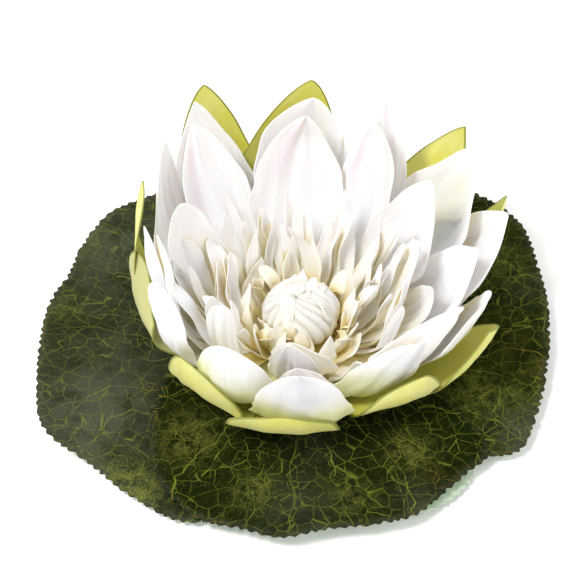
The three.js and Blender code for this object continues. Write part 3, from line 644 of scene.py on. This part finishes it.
# the pink entries here are stains, the beige ones painted shade
innerTable = [
    (125.2, 44.5, 48.5, 23.6, 0.8, 0.95, 0.94, 6, 0.88, 0.5, 0.79, 0.36, 0.94, -3, 2.2,
     {"folds": [(-0.4, 0.25, 0.8, 0.12, 0.3, 0.95), (0.35, 0.5, -0.5, 0.1, 0.3, 0.9)],
      "stains": [("blush", 0.6, 0.5, 0.5, 0.25, 0.4, 0.95)]}),
    (90.4, 40.1, 47.9, 26, -1.6, 0.85, 1.12, 2, 0.79, 0.59, 0.8, 0.4, 0.95, 1.4, 2.1,
     {"tip": 1.6, "tipFrom": 0.85,
      "folds": [(0.1, 0.35, 0.9, 0.14, 0.75, 1), (0.1, -0.1, 0.6, 0.1, 0.6, 1)],
      "stains": [("blush", 0.5, 0.4, 0.8, 0.22, 0.7, 1), ("dusk", 0.15, 0.15, 0.3, 0.15, 0.88, 1)]}),
    (59.9, 41, 47.4, 20.5, 1.8, 0.73, 0.9, -10, 0.8, 0.7, 0.82, 0.41, 0.94, -4, 2.3,
     {"folds": [(-0.5, -0.5, -0.9, 0.12, 0.45, 1)],
      "stains": [("blush", 0.9, 0.6, 0.8, 0.15, 0.7, 1), ("dusk", -0.8, -0.65, 0.4, 0.22, 0.5, 1)]}),
    (33.7, 36.6, 45.2, 24.4, -2.6, 0.91, 0.95, -2, 0.73, 0.56, 0.8, 0.39, 0.93, 1.6, 2.3),
    (2.4, 42.5, 39.7, 27.1, -1.5, 0.95, 0.96, -5, 0.81, 0.54, 0.78, 0.39, 0.91, 2.7, 2.4),
    (324.4, 38.6, 39.4, 26.9, 4.5, 1, 0.88, -23, 0.47, 0.65, 0.85, 0.39, 0.92, -5.6, 2.5),
    (263.2, 25.7, 35.5, 17.1, 0.6, 0.76, 0.9, -8, 0.64, 0.57, 0.8, 0.39, 0.95, 0.9, 2.2),
    (223.3, 27.3, 43, 10, 2, 0.9, 0.91, 32, 0.33, 0.59, 0.86, 0.36, 0.99, -3.7, 2.1),
    (182.6, 33.4, 43.5, 13.9, -1.8, 0.98, 1.06, 22, 0.34, 0.62, 0.93, 0.37, 1.04, 0.9, 2),
    (157.9, 30.2, 46.1, 22.7, 1.9, 0.81, 0.99, -29, 0.59, 0.53, 0.79, 0.39, 0.95, -1.6, 2.3),
    (357.5, 31.8, 32.6, 13.8, -3.8, 0.77, 0.96, 23, 0.76, 0.52, 0.78, 0.39, 0.97, 8, 2.3),
    (6.1, 28.8, 36.9, 23.2, 2, 1.06, 0.67, 1, 0.62, 0.7, 0.82, 0.39, 0.9, -11.3, 2.7),
    (43.1, 27.2, 37.5, 7.2, -7.4, 0.72, 1.03, 2, 0.72, 0.59, 0.8, 0.42, 0.93, 1.2, 2.2),
    (172.8, 27.2, 32.4, 4.5, 1.4, 1.06, 0.8, -10, 0.58, 0.65, 0.83, 0.43, 0.84, 6.1, 2.2),
    (167.7, 30.9, 33.3, 4.8, 3.8, 1.06, 0.81, -4, 0.58, 0.62, 0.78, 0.45, 0.87, 1.6, 2.2),
    (178.6, 31.3, 30.4, 7.2, 0.2, 0.99, 0.77, -1, 0.61, 0.63, 0.77, 0.43, 0.88, 2.5, 2.3),
    (194.4, 30.7, 26.5, 7.7, -1.1, 0.94, 1.01, 2, 0.63, 0.59, 0.81, 0.4, 0.94, 3.3, 2.2),
    (270.1, 31.4, 33.9, 17.1, -0.9, 0.89, 1.05, 3, 0.72, 0.57, 0.8, 0.39, 0.95, 1.5, 2.2,
     {"stains": [("blush", 0, 0, 0.6, 0.9, 0.6, 1)]}),
    (272.1, 24.6, 35.2, 17.6, -3.1, 0.97, 1.08, -10, 0.58, 0.55, 0.81, 0.38, 0.97, 1.5, 2,
     {"stains": [("dusk", 0, 0, 0.4, 0.9, 0.5, 1)]}),
]
narrowKind = {
    "root": (8, 10.2), "base": 0.45, "peak": 0.6, "round": 0.9, "belly": 0.75, "rise": 0.42, "hook": 0.92,
    "hug": 2.6, "rows": 34, "columns": 10, "ribs": 1.0, "ribDepth": 0.12, "crease": 0.25, "ruffle": 3.0,
    "waves": 1.5, "chanceFolds": 2, "foldDepth": 0.3, "raggedness": 0.08,
}
narrowTable = [
    (116.3, 31.7, 38, 3.7, 2.1, 1, 0.94, 20, 0.83, 0.6, 0.75, 0.43, 0.92, -3),
    (120.6, 30, 36.2, 3.1, 4.1, 1, 0.88, -20, 0.86, 0.61, 0.74, 0.45, 0.91, -3.8),
    (113.4, 24.6, 32, 4.2, 0.1, 1, 1, 25, 0.87, 0.6, 0.75, 0.42, 0.92, -0.5),
    (97.5, 17.8, 32.1, 4.5, 2.4, 1, 0.9, 15, 1.03, 0.51, 0.75, 0.39, 0.91, -3.5),
    (91.7, 23, 33.1, 3.4, -0.3, 1, 1, -20, 0.8, 0.71, 0.75, 0.45, 0.93, 1),
    (72.4, 14.4, 29, 4.6, 1.4, 1, 1, -10, 1, 0.56, 0.75, 0.4, 0.92, -2.3),
    (72.4, 21.3, 31.8, 4.4, -1, 1, 1, 20, 0.85, 0.63, 0.75, 0.43, 0.92, 1.9),
    (67.2, 27.9, 35.1, 3.3, -0.4, 1, 1, 15, 0.79, 0.61, 0.75, 0.43, 0.92, -0.3),
    (24, 14.4, 25.5, 3.2, 1.6, 1, 1, 40, 0.85, 0.61, 0.76, 0.42, 0.93, -2.4),
    (128.5, 20.9, 27.7, 3.4, -1.5, 1, 1, -30, 0.76, 0.65, 0.76, 0.43, 0.91, 3.3, 2.6, {"sway": 0.7}),
    (144.1, 17, 20.9, 7.4, -7.2, 1, 1.1, -23, 0.89, 0.65, 0.82, 0.39, 0.92, 16.2, 2.5),
    (358, 18.7, 27.8, 3, 0, 1, 1, 40, 0.8, 0.6, 0.3, 0.95, 0.62, 2),
    (346, 17.4, 28.4, 3.2, 0, 1, 1, -30, 0.8, 0.6, 0.3, 0.95, 0.62, 1, 2.6,
     {"stains": [("blush", 0, 0, 0.6, 0.9, 0.5, 1)]}),
    (301, 24.5, 23.5, 9, 0, 1, 1, 10, 0.8, 0.62, 0.75, 0.42, 0.92, 0, 2.4),
    (238.1, 12.5, 26.4, 4.8, 1.1, 1, 1, 13, 0.9, 0.59, 0.75, 0.41, 0.92, -1.9),
    (255.8, 10, 25, 3.7, 0.3, 1, 1, 1, 0.88, 0.61, 0.75, 0.42, 0.92, -0.8),
    (271.6, 11.7, 24.7, 4.1, -0.3, 1, 1, -5, 0.82, 0.61, 0.75, 0.43, 0.92, 0.7),
    (294.1, 17.5, 27.5, 4.9, 0, 1, 1, -5, 0.9, 0.6, 0.75, 0.42, 0.92, 0),
    (165.6, 21.5, 28.1, 5.4, -2.3, 0.92, 1.09, -18, 0.84, 0.64, 0.77, 0.42, 0.94, 5.8, 2.6,
     {"stains": [("blush", 0.4, 0.4, 0.4, 0.5, 0.5, 1)]}),
    (161.5, 19.2, 30, 5.7, -3, 1.05, 0.88, -19, 0.85, 0.81, 0.8, 0.43, 0.91, 9.7, 2.6,
     {"stains": [("blush", 0.4, 0.4, 0.4, 0.5, 0.5, 1)]}),
    (209.2, 17.5, 29.2, 7.8, -3, 0.64, 1.15, -50, 0.94, 0.58, 0.7, 0.4, 0.93, 8.3, 2.6),
    (342.2, 15, 29.2, 5.1, -2.1, 1, 1, 49, 0.83, 0.69, 0.5, 0.75, 0.75, -0.7, 2.5),
    (350.7, 13.1, 25.9, 6.5, 2.6, 1.04, 0.68, 15, 0.86, 0.65, 0.5, 0.7, 0.75, -7.4, 2.9),
    (315.9, 17.8, 22, 6.6, 2.9, 1.08, 0.89, 47, 0.88, 0.59, 0.7, 0.44, 0.91, -3.8, 2.7),
    (18.8, 18.7, 29.4, 3.5, 1, 1.02, 0.98, 8, 0.84, 0.62, 0.76, 0.42, 0.93, -2.2, 2.6),
    (38.2, 20.8, 34.9, 3.6, -4.4, 0.68, 1.14, 1, 0.87, 0.67, 0.75, 0.48, 0.88, 0, 2.6),
    (20.1, 25.5, 35.2, 3.4, -3.5, 0.76, 1.12, 6, 0.87, 0.66, 0.78, 0.49, 0.81, -4.5, 2.6),
]
# two rings of torn strips: loose ribbons behind and beside the bud, short ones close round it
ribbons = {
    "count": 26, "from": -30, "to": 215, "radius": (18, 29), "height": (27, 37), "width": (3, 6),
    "roll": 70, "lean": 5, "sway": 2.4, "tip": 4, "peak": (0.55, 0.8), "round": (0.35, 0.9),
}
fringe = {
    "count": 22, "from": 0, "to": 360, "radius": (10.5, 16), "height": (18, 26), "width": (3, 5.5),
    "roll": 60, "lean": 4, "sway": 1.6, "tip": 3, "peak": (0.5, 0.8), "round": (0.35, 0.8),
}


def between(ends, share):
    return ends[0] + (ends[1] - ends[0]) * share


def stripTable(ring, chance):
    # Evenly spaced azimuths with jitter. Each strip picks how far out it stands, and further out
    # it also stands higher.
    count = ring["count"]
    places = (np.arange(count) + chance.uniform(0, 1, count)) / count
    azimuth = between((ring["from"], ring["to"]), places)
    share = chance.uniform(0, 1, count)
    radius = between(ring["radius"], share)
    height = between(ring["height"], 0.7 * share + 0.3 * chance.uniform(0, 1, count))
    width = chance.uniform(*ring["width"], count)
    lean, roll, sway, tip = (chance.uniform(-1, 1, count) * ring[name]
                             for name in ("lean", "roll", "sway", "tip"))
    peak, rounding = (chance.uniform(*ring[name], count) for name in ("peak", "round"))
    ones = np.ones(count)
    columns = (azimuth, radius, height, width, lean, ones, ones, roll, rounding, peak, sway, tip)
    return [(*row, {"sway": bend, "tip": nod}) for *row, bend, nod in zip(*columns)]


# rings of cloth that hold the petals of each piece together: inner and outer radius, heights
collar = {"inner": 2.9, "outer": 11, "heights": (9.3, 9.9, 10.4)}
collars = [discSheet(collar["inner"], collar["outer"], height) for height in collar["heights"]]
outerSheets = bladesOf(outerKind, outerTable, chance)
innerSheets = bladesOf(innerKind, innerTable, chance)
strips = stripTable(ribbons, chance) + stripTable(fringe, chance)
narrowSheets = bladesOf(narrowKind, narrowTable + strips, chance)
cloth("outerPetals", outerSheets + collars[:1], [petalCloth], "petals")
cloth("innerPetals", innerSheets + collars[1:2], [petalCloth], "petals")
cloth("narrowPetals", narrowSheets + collars[2:], [innerCloth], "petals")
print("petals made")

budShape = {
    "radius": 8.4, "halfHeight": 6.6, "middle": 18.0, "core": 0.95, "coreFoot": 10.6, "foot": 10.7,
}
budKind = {
    "swing": 0, "peak": 0.5, "round": 0.7, "base": 0.6, "from": 150,
    "folds": (), "rows": 56, "columns": 36, "pleats": 3.0, "pleatDepth": 0.2, "flare": 0.5, "waves": 2.0,
}
# azimuth is that of the foot, reach the polar angle of the tip, lift the height off the core, and
# swing says how far the midline turns sideways on its way; a fold is as in the petals
budWraps = [
    {"azimuth": 95, "reach": -30, "width": 17, "lift": 0.2},
    {"azimuth": 40, "reach": -12, "width": 14, "lift": 0.5, "swing": 14, "flare": 0.7},
    {"azimuth": 150, "reach": -6, "width": 14, "lift": 0.7, "swing": -12, "flare": 0.8},
    {"azimuth": 5, "reach": 14, "width": 12, "lift": 0.8, "swing": -12, "flare": 0.7},
    {"azimuth": 205, "reach": 12, "width": 13, "lift": 0.6, "swing": 16, "flare": 0.9,
     "folds": [(0.5, -0.2, -0.4, 0.06, 0.2, 0.9), (-0.4, 0.1, 0.4, 0.08, 0.2, 0.9)]},
    {"azimuth": 318, "reach": -18, "width": 17, "lift": 1.0, "swing": -20, "peak": 0.55, "round": 0.45,
     "pleatDepth": 0.12, "flare": 0.6,
     "folds": [(0.9, -0.9, -0.6, 0.045, 0.02, 0.75), (0.7, -0.75, 0.35, 0.06, 0.02, 0.7),
               (0.5, -0.9, -0.55, 0.045, 0.02, 0.7), (0.3, -0.8, 0.3, 0.06, 0.02, 0.65),
               (0.1, -0.9, -0.55, 0.045, 0.02, 0.6), (-0.15, -0.8, 0.3, 0.06, 0.02, 0.6),
               (-0.4, -0.9, -0.5, 0.045, 0.02, 0.6), (-0.96, -0.96, 0.5, 0.07, 0.1, 0.8)]},
    {"azimuth": 236, "reach": 80, "width": 14, "lift": 1.1, "round": 0.3, "peak": 0.7, "flare": 1.0,
     "folds": [(0.3, 0.1, -0.4, 0.06, 0.1, 0.9), (-0.3, -0.1, -0.4, 0.06, 0.1, 0.9)]},
]


def budCoreSheet():
    # The closed core of the bud: a flattened ball on a flat foot.
    polar = np.linspace(np.pi, 0.02, 40)[:, None]
    turn = np.linspace(0, 2 * np.pi, 97)[None, :]
    height = budShape["middle"] + budShape["halfHeight"] * budShape["core"] * np.cos(polar)
    height = np.maximum(height, budShape["coreFoot"])
    points = around(turn, budShape["radius"] * budShape["core"] * np.sin(polar), height)
    # towards the foot the core turns cream and ochre, partly painted shade
    values = plainValues(points, 0.5 + 0.4 * smooth(polar, 1.3, 2.2), 0.3)
    return {"points": points, "map": joined(turn * 9, polar * 8), "values": values}


def wrapSheet(wrap, chance):
    # A petal folded over the bud: its midline climbs a meridian of the flattened ball from the foot
    # over the top, and each point is that far off it along a great circle. Pleats, folds and a
    # flared rim lift it off the ball.
    u = np.linspace(0, 1, wrap["rows"] + 1)[:, None]
    v = np.linspace(-1, 1, wrap["columns"] + 1)[None, :]
    climb = np.sin(u * np.pi / 2)
    polar = np.radians(wrap["from"] + (wrap["reach"] - wrap["from"]) * climb)
    turn = np.radians(wrap["azimuth"] + wrap["swing"] * u ** 2)
    middle = around(turn, np.sin(polar), np.cos(polar))
    sideways = around(turn + np.pi / 2, 1, 0)
    half = wrap["width"] / 2 * np.maximum(widthShare(climb, wrap), 0.03)
    ragged = 1 + 0.06 * np.sin(math.tau * 3 * u + np.where(v < 0, *chance.uniform(0, 6, 2)))
    angle = half * ragged * v / budShape["radius"]
    toward = middle * np.cos(angle)[..., None] + sideways * np.sin(angle)[..., None]
    body = np.sin(np.pi * np.clip(u, 0, 1)) ** 0.6
    pleats = np.cos(math.tau * wrap["pleats"] * v + chance.uniform(0, 6)) * body
    wavy = 0.6 + 0.4 * np.sin(math.tau * wrap["waves"] * u + chance.uniform(0, 6))
    flare = np.abs(v) ** 4 * wavy + smooth(u, 0.85, 1.0)
    lift = wrap["lift"] + wrap["pleatDepth"] * pleats + wrap["flare"] * flare
    # painted shade in the creases: inward folds darken the cloth
    dark = np.zeros(lift.shape)
    for start, end, depth, width, low, high in wrap["folds"]:
        crease = band(u, v, start, end, width, low, high)
        lift += depth * crease
        dark += max(-depth, 0) * crease
    size = np.array([budShape["radius"], budShape["radius"], budShape["halfHeight"]])
    points = toward * (size + lift[..., None]) + np.array([0, 0, budShape["middle"]])
    points[..., 2] = np.maximum(points[..., 2], budShape["foot"])
    low = smooth(polar + 0 * v, 1.35, 2.3)
    flat = joined(half * v, 20 * u) + chance.uniform(0, 60, 2)
    # lower down the cloth turns cream and ochre, partly painted shade; the beige share is an even tint,
    # with painted shade low on the bud and in its creases
    values = plainValues(points, 0.48 + 0.3 * low, chance.uniform(0, 1))
    own = {"along": u, "edge": (1 - np.abs(v)) * half, "dusk": 0.28 + 0.15 * low + dark}
    return {"points": points, "map": flat, "values": {**values, **own}}


tuftKind = {
    "root": (2, 23), "base": 0.8, "peak": 0.4, "round": 0.9, "belly": 0.3, "rise": 0.5, "hook": 0.6,
    "hug": 1, "rows": 14, "columns": 6, "ribs": 0.5, "ribDepth": 0.05, "crease": 0.05,
    "raggedness": 0.1, "chanceFolds": 1,
}
tuftTable = [
    (81, 4.4, 29, 2.4), (50, 6, 25.6, 4.6), (105, 5.6, 25.8, 5), (20, 6.6, 24.8, 4.2),
    (140, 5.8, 25.2, 4.6), (70, 3.6, 26.2, 3.4),
]
wraps = [wrapSheet({**budKind, **wrap}, chance) for wrap in budWraps]
budSheets = [budCoreSheet(), *wraps, *bladesOf(tuftKind, tuftTable, chance)]
cloth("budCloth", budSheets, [innerCloth], "centre_bud")
print("bud made")

pad = {"radius": 60, "fall": 1.4, "wave": 2.2, "waves": 4, "floor": 2.5, "pitch": 1.0, "thickness": 0.6}
leafMake = {
    "hole": 2.9, "toothPitch": 2.5, "toothDepth": 0.8, "toothedFrom": 30, "pitchJitter": 0.3,
    "depthJitter": 0.45, "perTooth": 5, "rings": 26,
}
# the outlines, by azimuth and radius
leafOutlines = {
    "leaf_under": [
        (0, 14), (45, 7), (100, 6.5), (160, 6.5), (220, 7), (262, 16), (280, 38), (291, 52), (300, 57.5),
        (308, 58), (316, 57), (323, 53), (330, 42), (342, 25),
    ],
    "leaf_left": [
        (25, 7), (60, 11), (80, 26), (95, 50), (112, 63), (129, 69.3), (137, 71), (148, 68.5),
        (157, 66), (164, 66.5), (173, 66), (188, 66.2), (202, 67.8), (215, 62.3), (229, 60.4),
        (243, 59), (253, 51), (262, 38), (275, 20), (295, 9), (340, 6.5),
    ],
    "leaf_right": [
        (11, 64.8), (24, 68.1), (35, 72.9), (43, 74.1), (52, 73), (64, 68), (78, 62), (92, 52),
        (104, 34), (118, 16), (150, 7.5), (200, 6.5), (255, 7.5), (290, 15), (308, 34), (318, 48),
        (328, 61.5), (336, 62.2), (354, 62.3),
    ],
    "leaf_front": [
        (20, 7), (80, 6.5), (140, 8), (172, 18), (186, 29), (198, 36), (212, 42.5), (224, 50.3),
        (232, 54.3), (244, 58.4), (255, 58.2), (266, 59.5), (276, 57.6), (287, 58.4), (297, 59.3),
        (306, 57.2), (316, 56.3), (324, 56.5), (333, 42), (346, 22),
    ],
}
# soft round spots on each leaf: x, y, radius, amount; the mottled and rusty ones are the cloth's own
# marks, the grey ones a painted sheen
leafSpots = {
    "leaf_under": {},
    "leaf_left": {
        "mottled": [(-43, -41, 6, 1.0), (-36, -43, 5, 0.8), (-60, 14, 5, 0.5), (-58, 40, 6, 0.5)],
        "rusty": [(-33, -14, 7, 0.8)],
        "paintedSheenSpots": [(-54, -25, 12, 1.0), (-47, -14, 9, 0.6), (-42, 2, 8, 0.3), (-48, 36, 15, 0.55)],
    },
    "leaf_right": {
        "mottled": [(44, -14.5, 5.5, 1.0), (52, 30, 7, 0.5), (53, -17, 4, 0.4)],
        "rusty": [(56, -4, 8, 0.7), (50, 8, 6, 0.3)],
        "paintedSheenSpots": [(54, -26, 7, 0.9), (60, 20, 6, 0.4)],
    },
    "leaf_front": {
        "mottled": [(26.4, -33.7, 5, 1.0), (-11, -45, 5, 0.9), (-27, -29, 7, 0.9), (12, -48, 6, 0.6)],
        "rusty": [(-32, -22, 8, 0.35), (-30, -34, 7, 0.3), (34, -43, 6, 0.8), (-18, -46, 5, 0.4),
                  (21, -31, 5, 0.4)],
        "paintedSheenSpots": [(0, -50, 9, 0.5), (28, -49, 6, 0.5), (3, -30, 6, 0.4)],
    },
}


def padHeight(x, y):
    # The floor level less a fall that grows with the radius, plus waves that grow with its square.
    share = np.hypot(x, y) / pad["radius"]
    wave = 0.5 + 0.5 * np.sin(pad["waves"] * np.arctan2(y, x) + 1)
    return pad["floor"] - pad["fall"] * np.minimum(share, 1.2) + pad["wave"] * share ** 2 * wave


def closedCurve(corners, steps=40):
    # A closed curve through the corners: each stretch is a cubic whose slopes at its ends come from
    # the corners before and after it, spaced by the square root of their distance.
    turn, radius = np.array(corners, float).T
    p1 = around(np.radians(turn), radius, 0)[:, :2]
    p0, p2, p3 = (np.roll(p1, shift, axis=0) for shift in (1, -1, -2))
    d0, d1, d2 = (np.sqrt(np.linalg.norm(b - a, axis=1))[:, None]
                  for a, b in ((p0, p1), (p1, p2), (p2, p3)))
    m1 = ((p1 - p0) / d0 - (p2 - p0) / (d0 + d1) + (p2 - p1) / d1) * d1
    m2 = ((p2 - p1) / d1 - (p3 - p1) / (d1 + d2) + (p3 - p2) / d2) * d1
    u = np.linspace(0, 1, steps, endpoint=False)[None, :, None]
    a, b, c, d = p1[:, None], m1[:, None], -3 * p1 + 3 * p2 - 2 * m1 - m2, 2 * p1 - 2 * p2 + m1 + m2
    return (a + b * u + c[:, None] * u ** 2 + d[:, None] * u ** 3).reshape(-1, 2)


def leafSheet(corners, layer, spots, chance):
    # A leaf is a surface over the turn round the pin and the share from pin hole to margin. Its
    # margin is the smooth outline with a tooth cut into it at every pitch; its height is the pad's.
    curve = closedCurve(corners)
    loop = np.vstack([curve, curve[:1]])
    run = np.concatenate([[0], np.cumsum(np.linalg.norm(np.diff(loop, axis=0), axis=1))])
    teeth = int(round(run[-1] / leafMake["toothPitch"]))
    count = teeth * leafMake["perTooth"]
    here = np.linspace(0, run[-1], count + 1)
    x, y = np.interp(here, run, loop[:, 0]), np.interp(here, run, loop[:, 1])
    margin, turn = np.hypot(x, y), np.unwrap(np.arctan2(y, x))
    place = np.arange(count + 1) / leafMake["perTooth"]
    jitter, size = chance.uniform(-1, 1, (2, teeth + 1))
    jitter[[0, -1]] = 0
    jitter, size = (np.interp(place, np.arange(teeth + 1), row) for row in (jitter, size))
    saw = (place + leafMake["pitchJitter"] * jitter) % 1
    cut = leafMake["toothDepth"] * np.abs(2 * saw - 1) * (1 + leafMake["depthJitter"] * size)
    cut[-1] = cut[0]
    cut *= smooth(margin, leafMake["toothedFrom"] - 4, leafMake["toothedFrom"] + 4)
    q = np.linspace(0, 1, leafMake["rings"] + 1)[:, None] ** 0.8
    radius = leafMake["hole"] + (margin - cut * smooth(q, 0.86, 1.0) - leafMake["hole"]) * q
    px, py = radius * np.cos(turn), radius * np.sin(turn)
    height = padHeight(px, py) + layer * pad["pitch"] + pad["thickness"] / 2
    middle = 0.5 * (turn[0] + turn[-1])
    values = {"edge": margin - cut - radius, "radial": radius, "turn": turn - middle + 0 * radius}
    # mottled and rusty marks, and spots of painted sheen
    for label in ("mottled", "rusty", "paintedSheenSpots"):
        values[label] = 0 * radius
        for spotX, spotY, size, amount in spots.get(label, ()):
            away = ((px - spotX) ** 2 + (py - spotY) ** 2) / size ** 2
            values[label] += amount * np.exp(-away)
    return {
        "points": joined(px, py, height)[:, ::-1],
        "map": joined(px, py)[:, ::-1],
        "values": {label: value[:, ::-1] for label, value in values.items()},
    }


leafFinish = {
    "dark": (0.0045, 0.008, 0.0008, 1),
    "green": (0.021, 0.031, 0.0038, 1),
    # grey of the painted sheen
    "grey": (0.072, 0.08, 0.052, 1),
    "vein": (0.2, 0.24, 0.028, 1),
    "mottle": (0.27, 0.28, 0.055, 1),
    "rust": (0.2, 0.11, 0.022, 1),
    "netVeins": {"cell": 4.2, "width": 0.17, "wobble": 1.0, "missing": 0.38},
    "smallVeins": {"cell": 2.4, "width": 0.13, "wobble": 0.8, "missing": 0.5},
    "mainWidth": 0.25,
    "surface": {"Specular IOR Level": 0.03},
}


def leafMaterial(name, tone, veins, paintedSheenBase):
    # Dark threads and green threads, grey with a painted sheen at its spots, along the margin and over
    # the whole leaf by the given share, speckled in the mottled spots and brown in the rusty ones. The
    # veins lie on top: the printed net and the main ones from the pin.
    material, tree = newMaterial(name)
    here = millimetres(tree)
    edge = attribute(tree, "edge")
    diagonal = stretched(here, (1, 1, 1), math.radians(38))
    weave = use(tree, clothWeave, vector=diagonal, pitch=0.42)
    net = use(tree, veinNet, vector=here, **leafFinish["netVeins"])
    small = use(tree, veinNet, vector=here, **leafFinish["smallVeins"])
    main = use(tree, mainVeins, vector=here, turn=attribute(tree, "turn"),
               radial=attribute(tree, "radial"), width=leafFinish["mainWidth"])
    lines = (net["mask"] * 0.65).atLeast(main["mask"]).atLeast(small["mask"] * 0.38)
    mottle = noise(here, 0.16, 3.0, 0.6)
    cells = (net["tone"] * 0.25 + ease(mottle, 0.3, 0.7)) * tone
    cells = (weave["tone"] - 0.5) * 2.4 + cells
    body = blend(cells, leafFinish["dark"], leafFinish["green"])
    # painted sheen: grey at its spots, along the margin and by the given share all over
    paintedSheenShare = attribute(tree, "paintedSheenSpots") + ease(edge, 0.0, 2.5, 0.45, 0.0) + paintedSheenBase
    paintedSheenShare = paintedSheenShare * ease(mottle, 0.3, 0.6, 0.4, 0.9) * ease(weave["tone"], 0.35, 0.65, 0.6, 1.1)
    body = blend(paintedSheenShare.atMost(0.9), body, leafFinish["grey"])
    blotch = attribute(tree, "mottled") * ease(noise(here, 0.35, 3.0, 0.7), 0.35, 0.6)
    speckle = blotch.atMost(1.0) * ease(weave["tone"], 0.42, 0.7)
    body = blend(speckle, body, leafFinish["mottle"])
    uneven = ease(noise(here, 0.3, 3.0, 0.7), 0.3, 0.6, 0.45, 1.0)
    lines = lines * (uneven * ease(weave["tone"], 0.35, 0.6, 0.55, 1.1)) * veins
    rusty = (attribute(tree, "rusty") + ease(edge, 0.0, 2.0, 0.35, 0.0)).atMost(1.0)
    veinColour = blend(rusty, leafFinish["vein"], leafFinish["rust"])
    body = blend(rusty * ease(mottle, 0.5, 0.75, 0.0, 0.2), body, leafFinish["rust"])
    body = blend(lines, body, veinColour)
    roughness = ease(mottle, 0.3, 0.7, 0.76, 0.86)
    relief = lines * -0.6 + weave["height"]
    return finish(material, body, roughness, relief, 0.18, leafFinish["surface"])


undersideFinish = {
    "green": (0.50, 0.63, 0.47, 1),
    "pale": (0.66, 0.77, 0.63, 1),
    "veins": {"cell": 4.6, "width": 0.35, "wobble": 1.8, "missing": 0.42},
    "surface": {"Specular IOR Level": 0.2},
}


def undersideMaterial():
    # Pale green cloth, in soft patches and threads, on which the net shows a little darker.
    material, tree = newMaterial("leafUnderside")
    here = millimetres(tree)
    soft = noise(here, 0.2, 3.0, 0.6)
    weave = use(tree, clothWeave, vector=here, pitch=0.35)
    net = use(tree, veinNet, vector=here, **undersideFinish["veins"])
    share = (weave["tone"] - 0.5) * 0.6 + ease(soft, 0.3, 0.7) - net["mask"] * 0.5
    body = blend(share, undersideFinish["green"], undersideFinish["pale"])
    roughness = ease(soft, 0.3, 0.7, 0.6, 0.75)
    return finish(material, body, roughness, weave["height"], 0.15, undersideFinish["surface"])


leafUnderside = undersideMaterial()
# piece, tone of the green, strength of the veins, painted sheen all over
leafPieces = {
    "leaf_under": ("underLeaf", None),
    "leaf_left": ("leftLeaf", (0.5, 0.8, 0.36)),
    "leaf_right": ("rightLeaf", (1.0, 1.0, 0.0)),
    "leaf_front": ("frontLeaf", (0.25, 0.9, 0.0)),
}
for layer, (node, (name, look)) in enumerate(leafPieces.items()):
    top = leafMaterial(name + "Top", *look) if look else leafUnderside
    sheet = leafSheet(leafOutlines[node], layer, leafSpots[node], chance)
    cloth(name, [sheet], [top, leafUnderside], node)
print("leaves made")

plasticFinish = {"green": (0.20, 0.30, 0.08, 1), "pale": (0.30, 0.42, 0.12, 1)}


def plasticMaterial():
    # Green moulded plastic, slightly cloudy, with a fine grain.
    material, tree = newMaterial("mouldedPlastic")
    here = millimetres(tree)
    soft = noise(here, 0.4, 3.0, 0.6)
    body = blend(soft, plasticFinish["green"], plasticFinish["pale"])
    return finish(material, body, ease(soft, 0.3, 0.7, 0.38, 0.5), noise(here, 3.0), 0.02, {})


plastic = plasticMaterial()
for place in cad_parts["receptacle"].material_slots:
    place.material = plastic
print("receptacle finished")
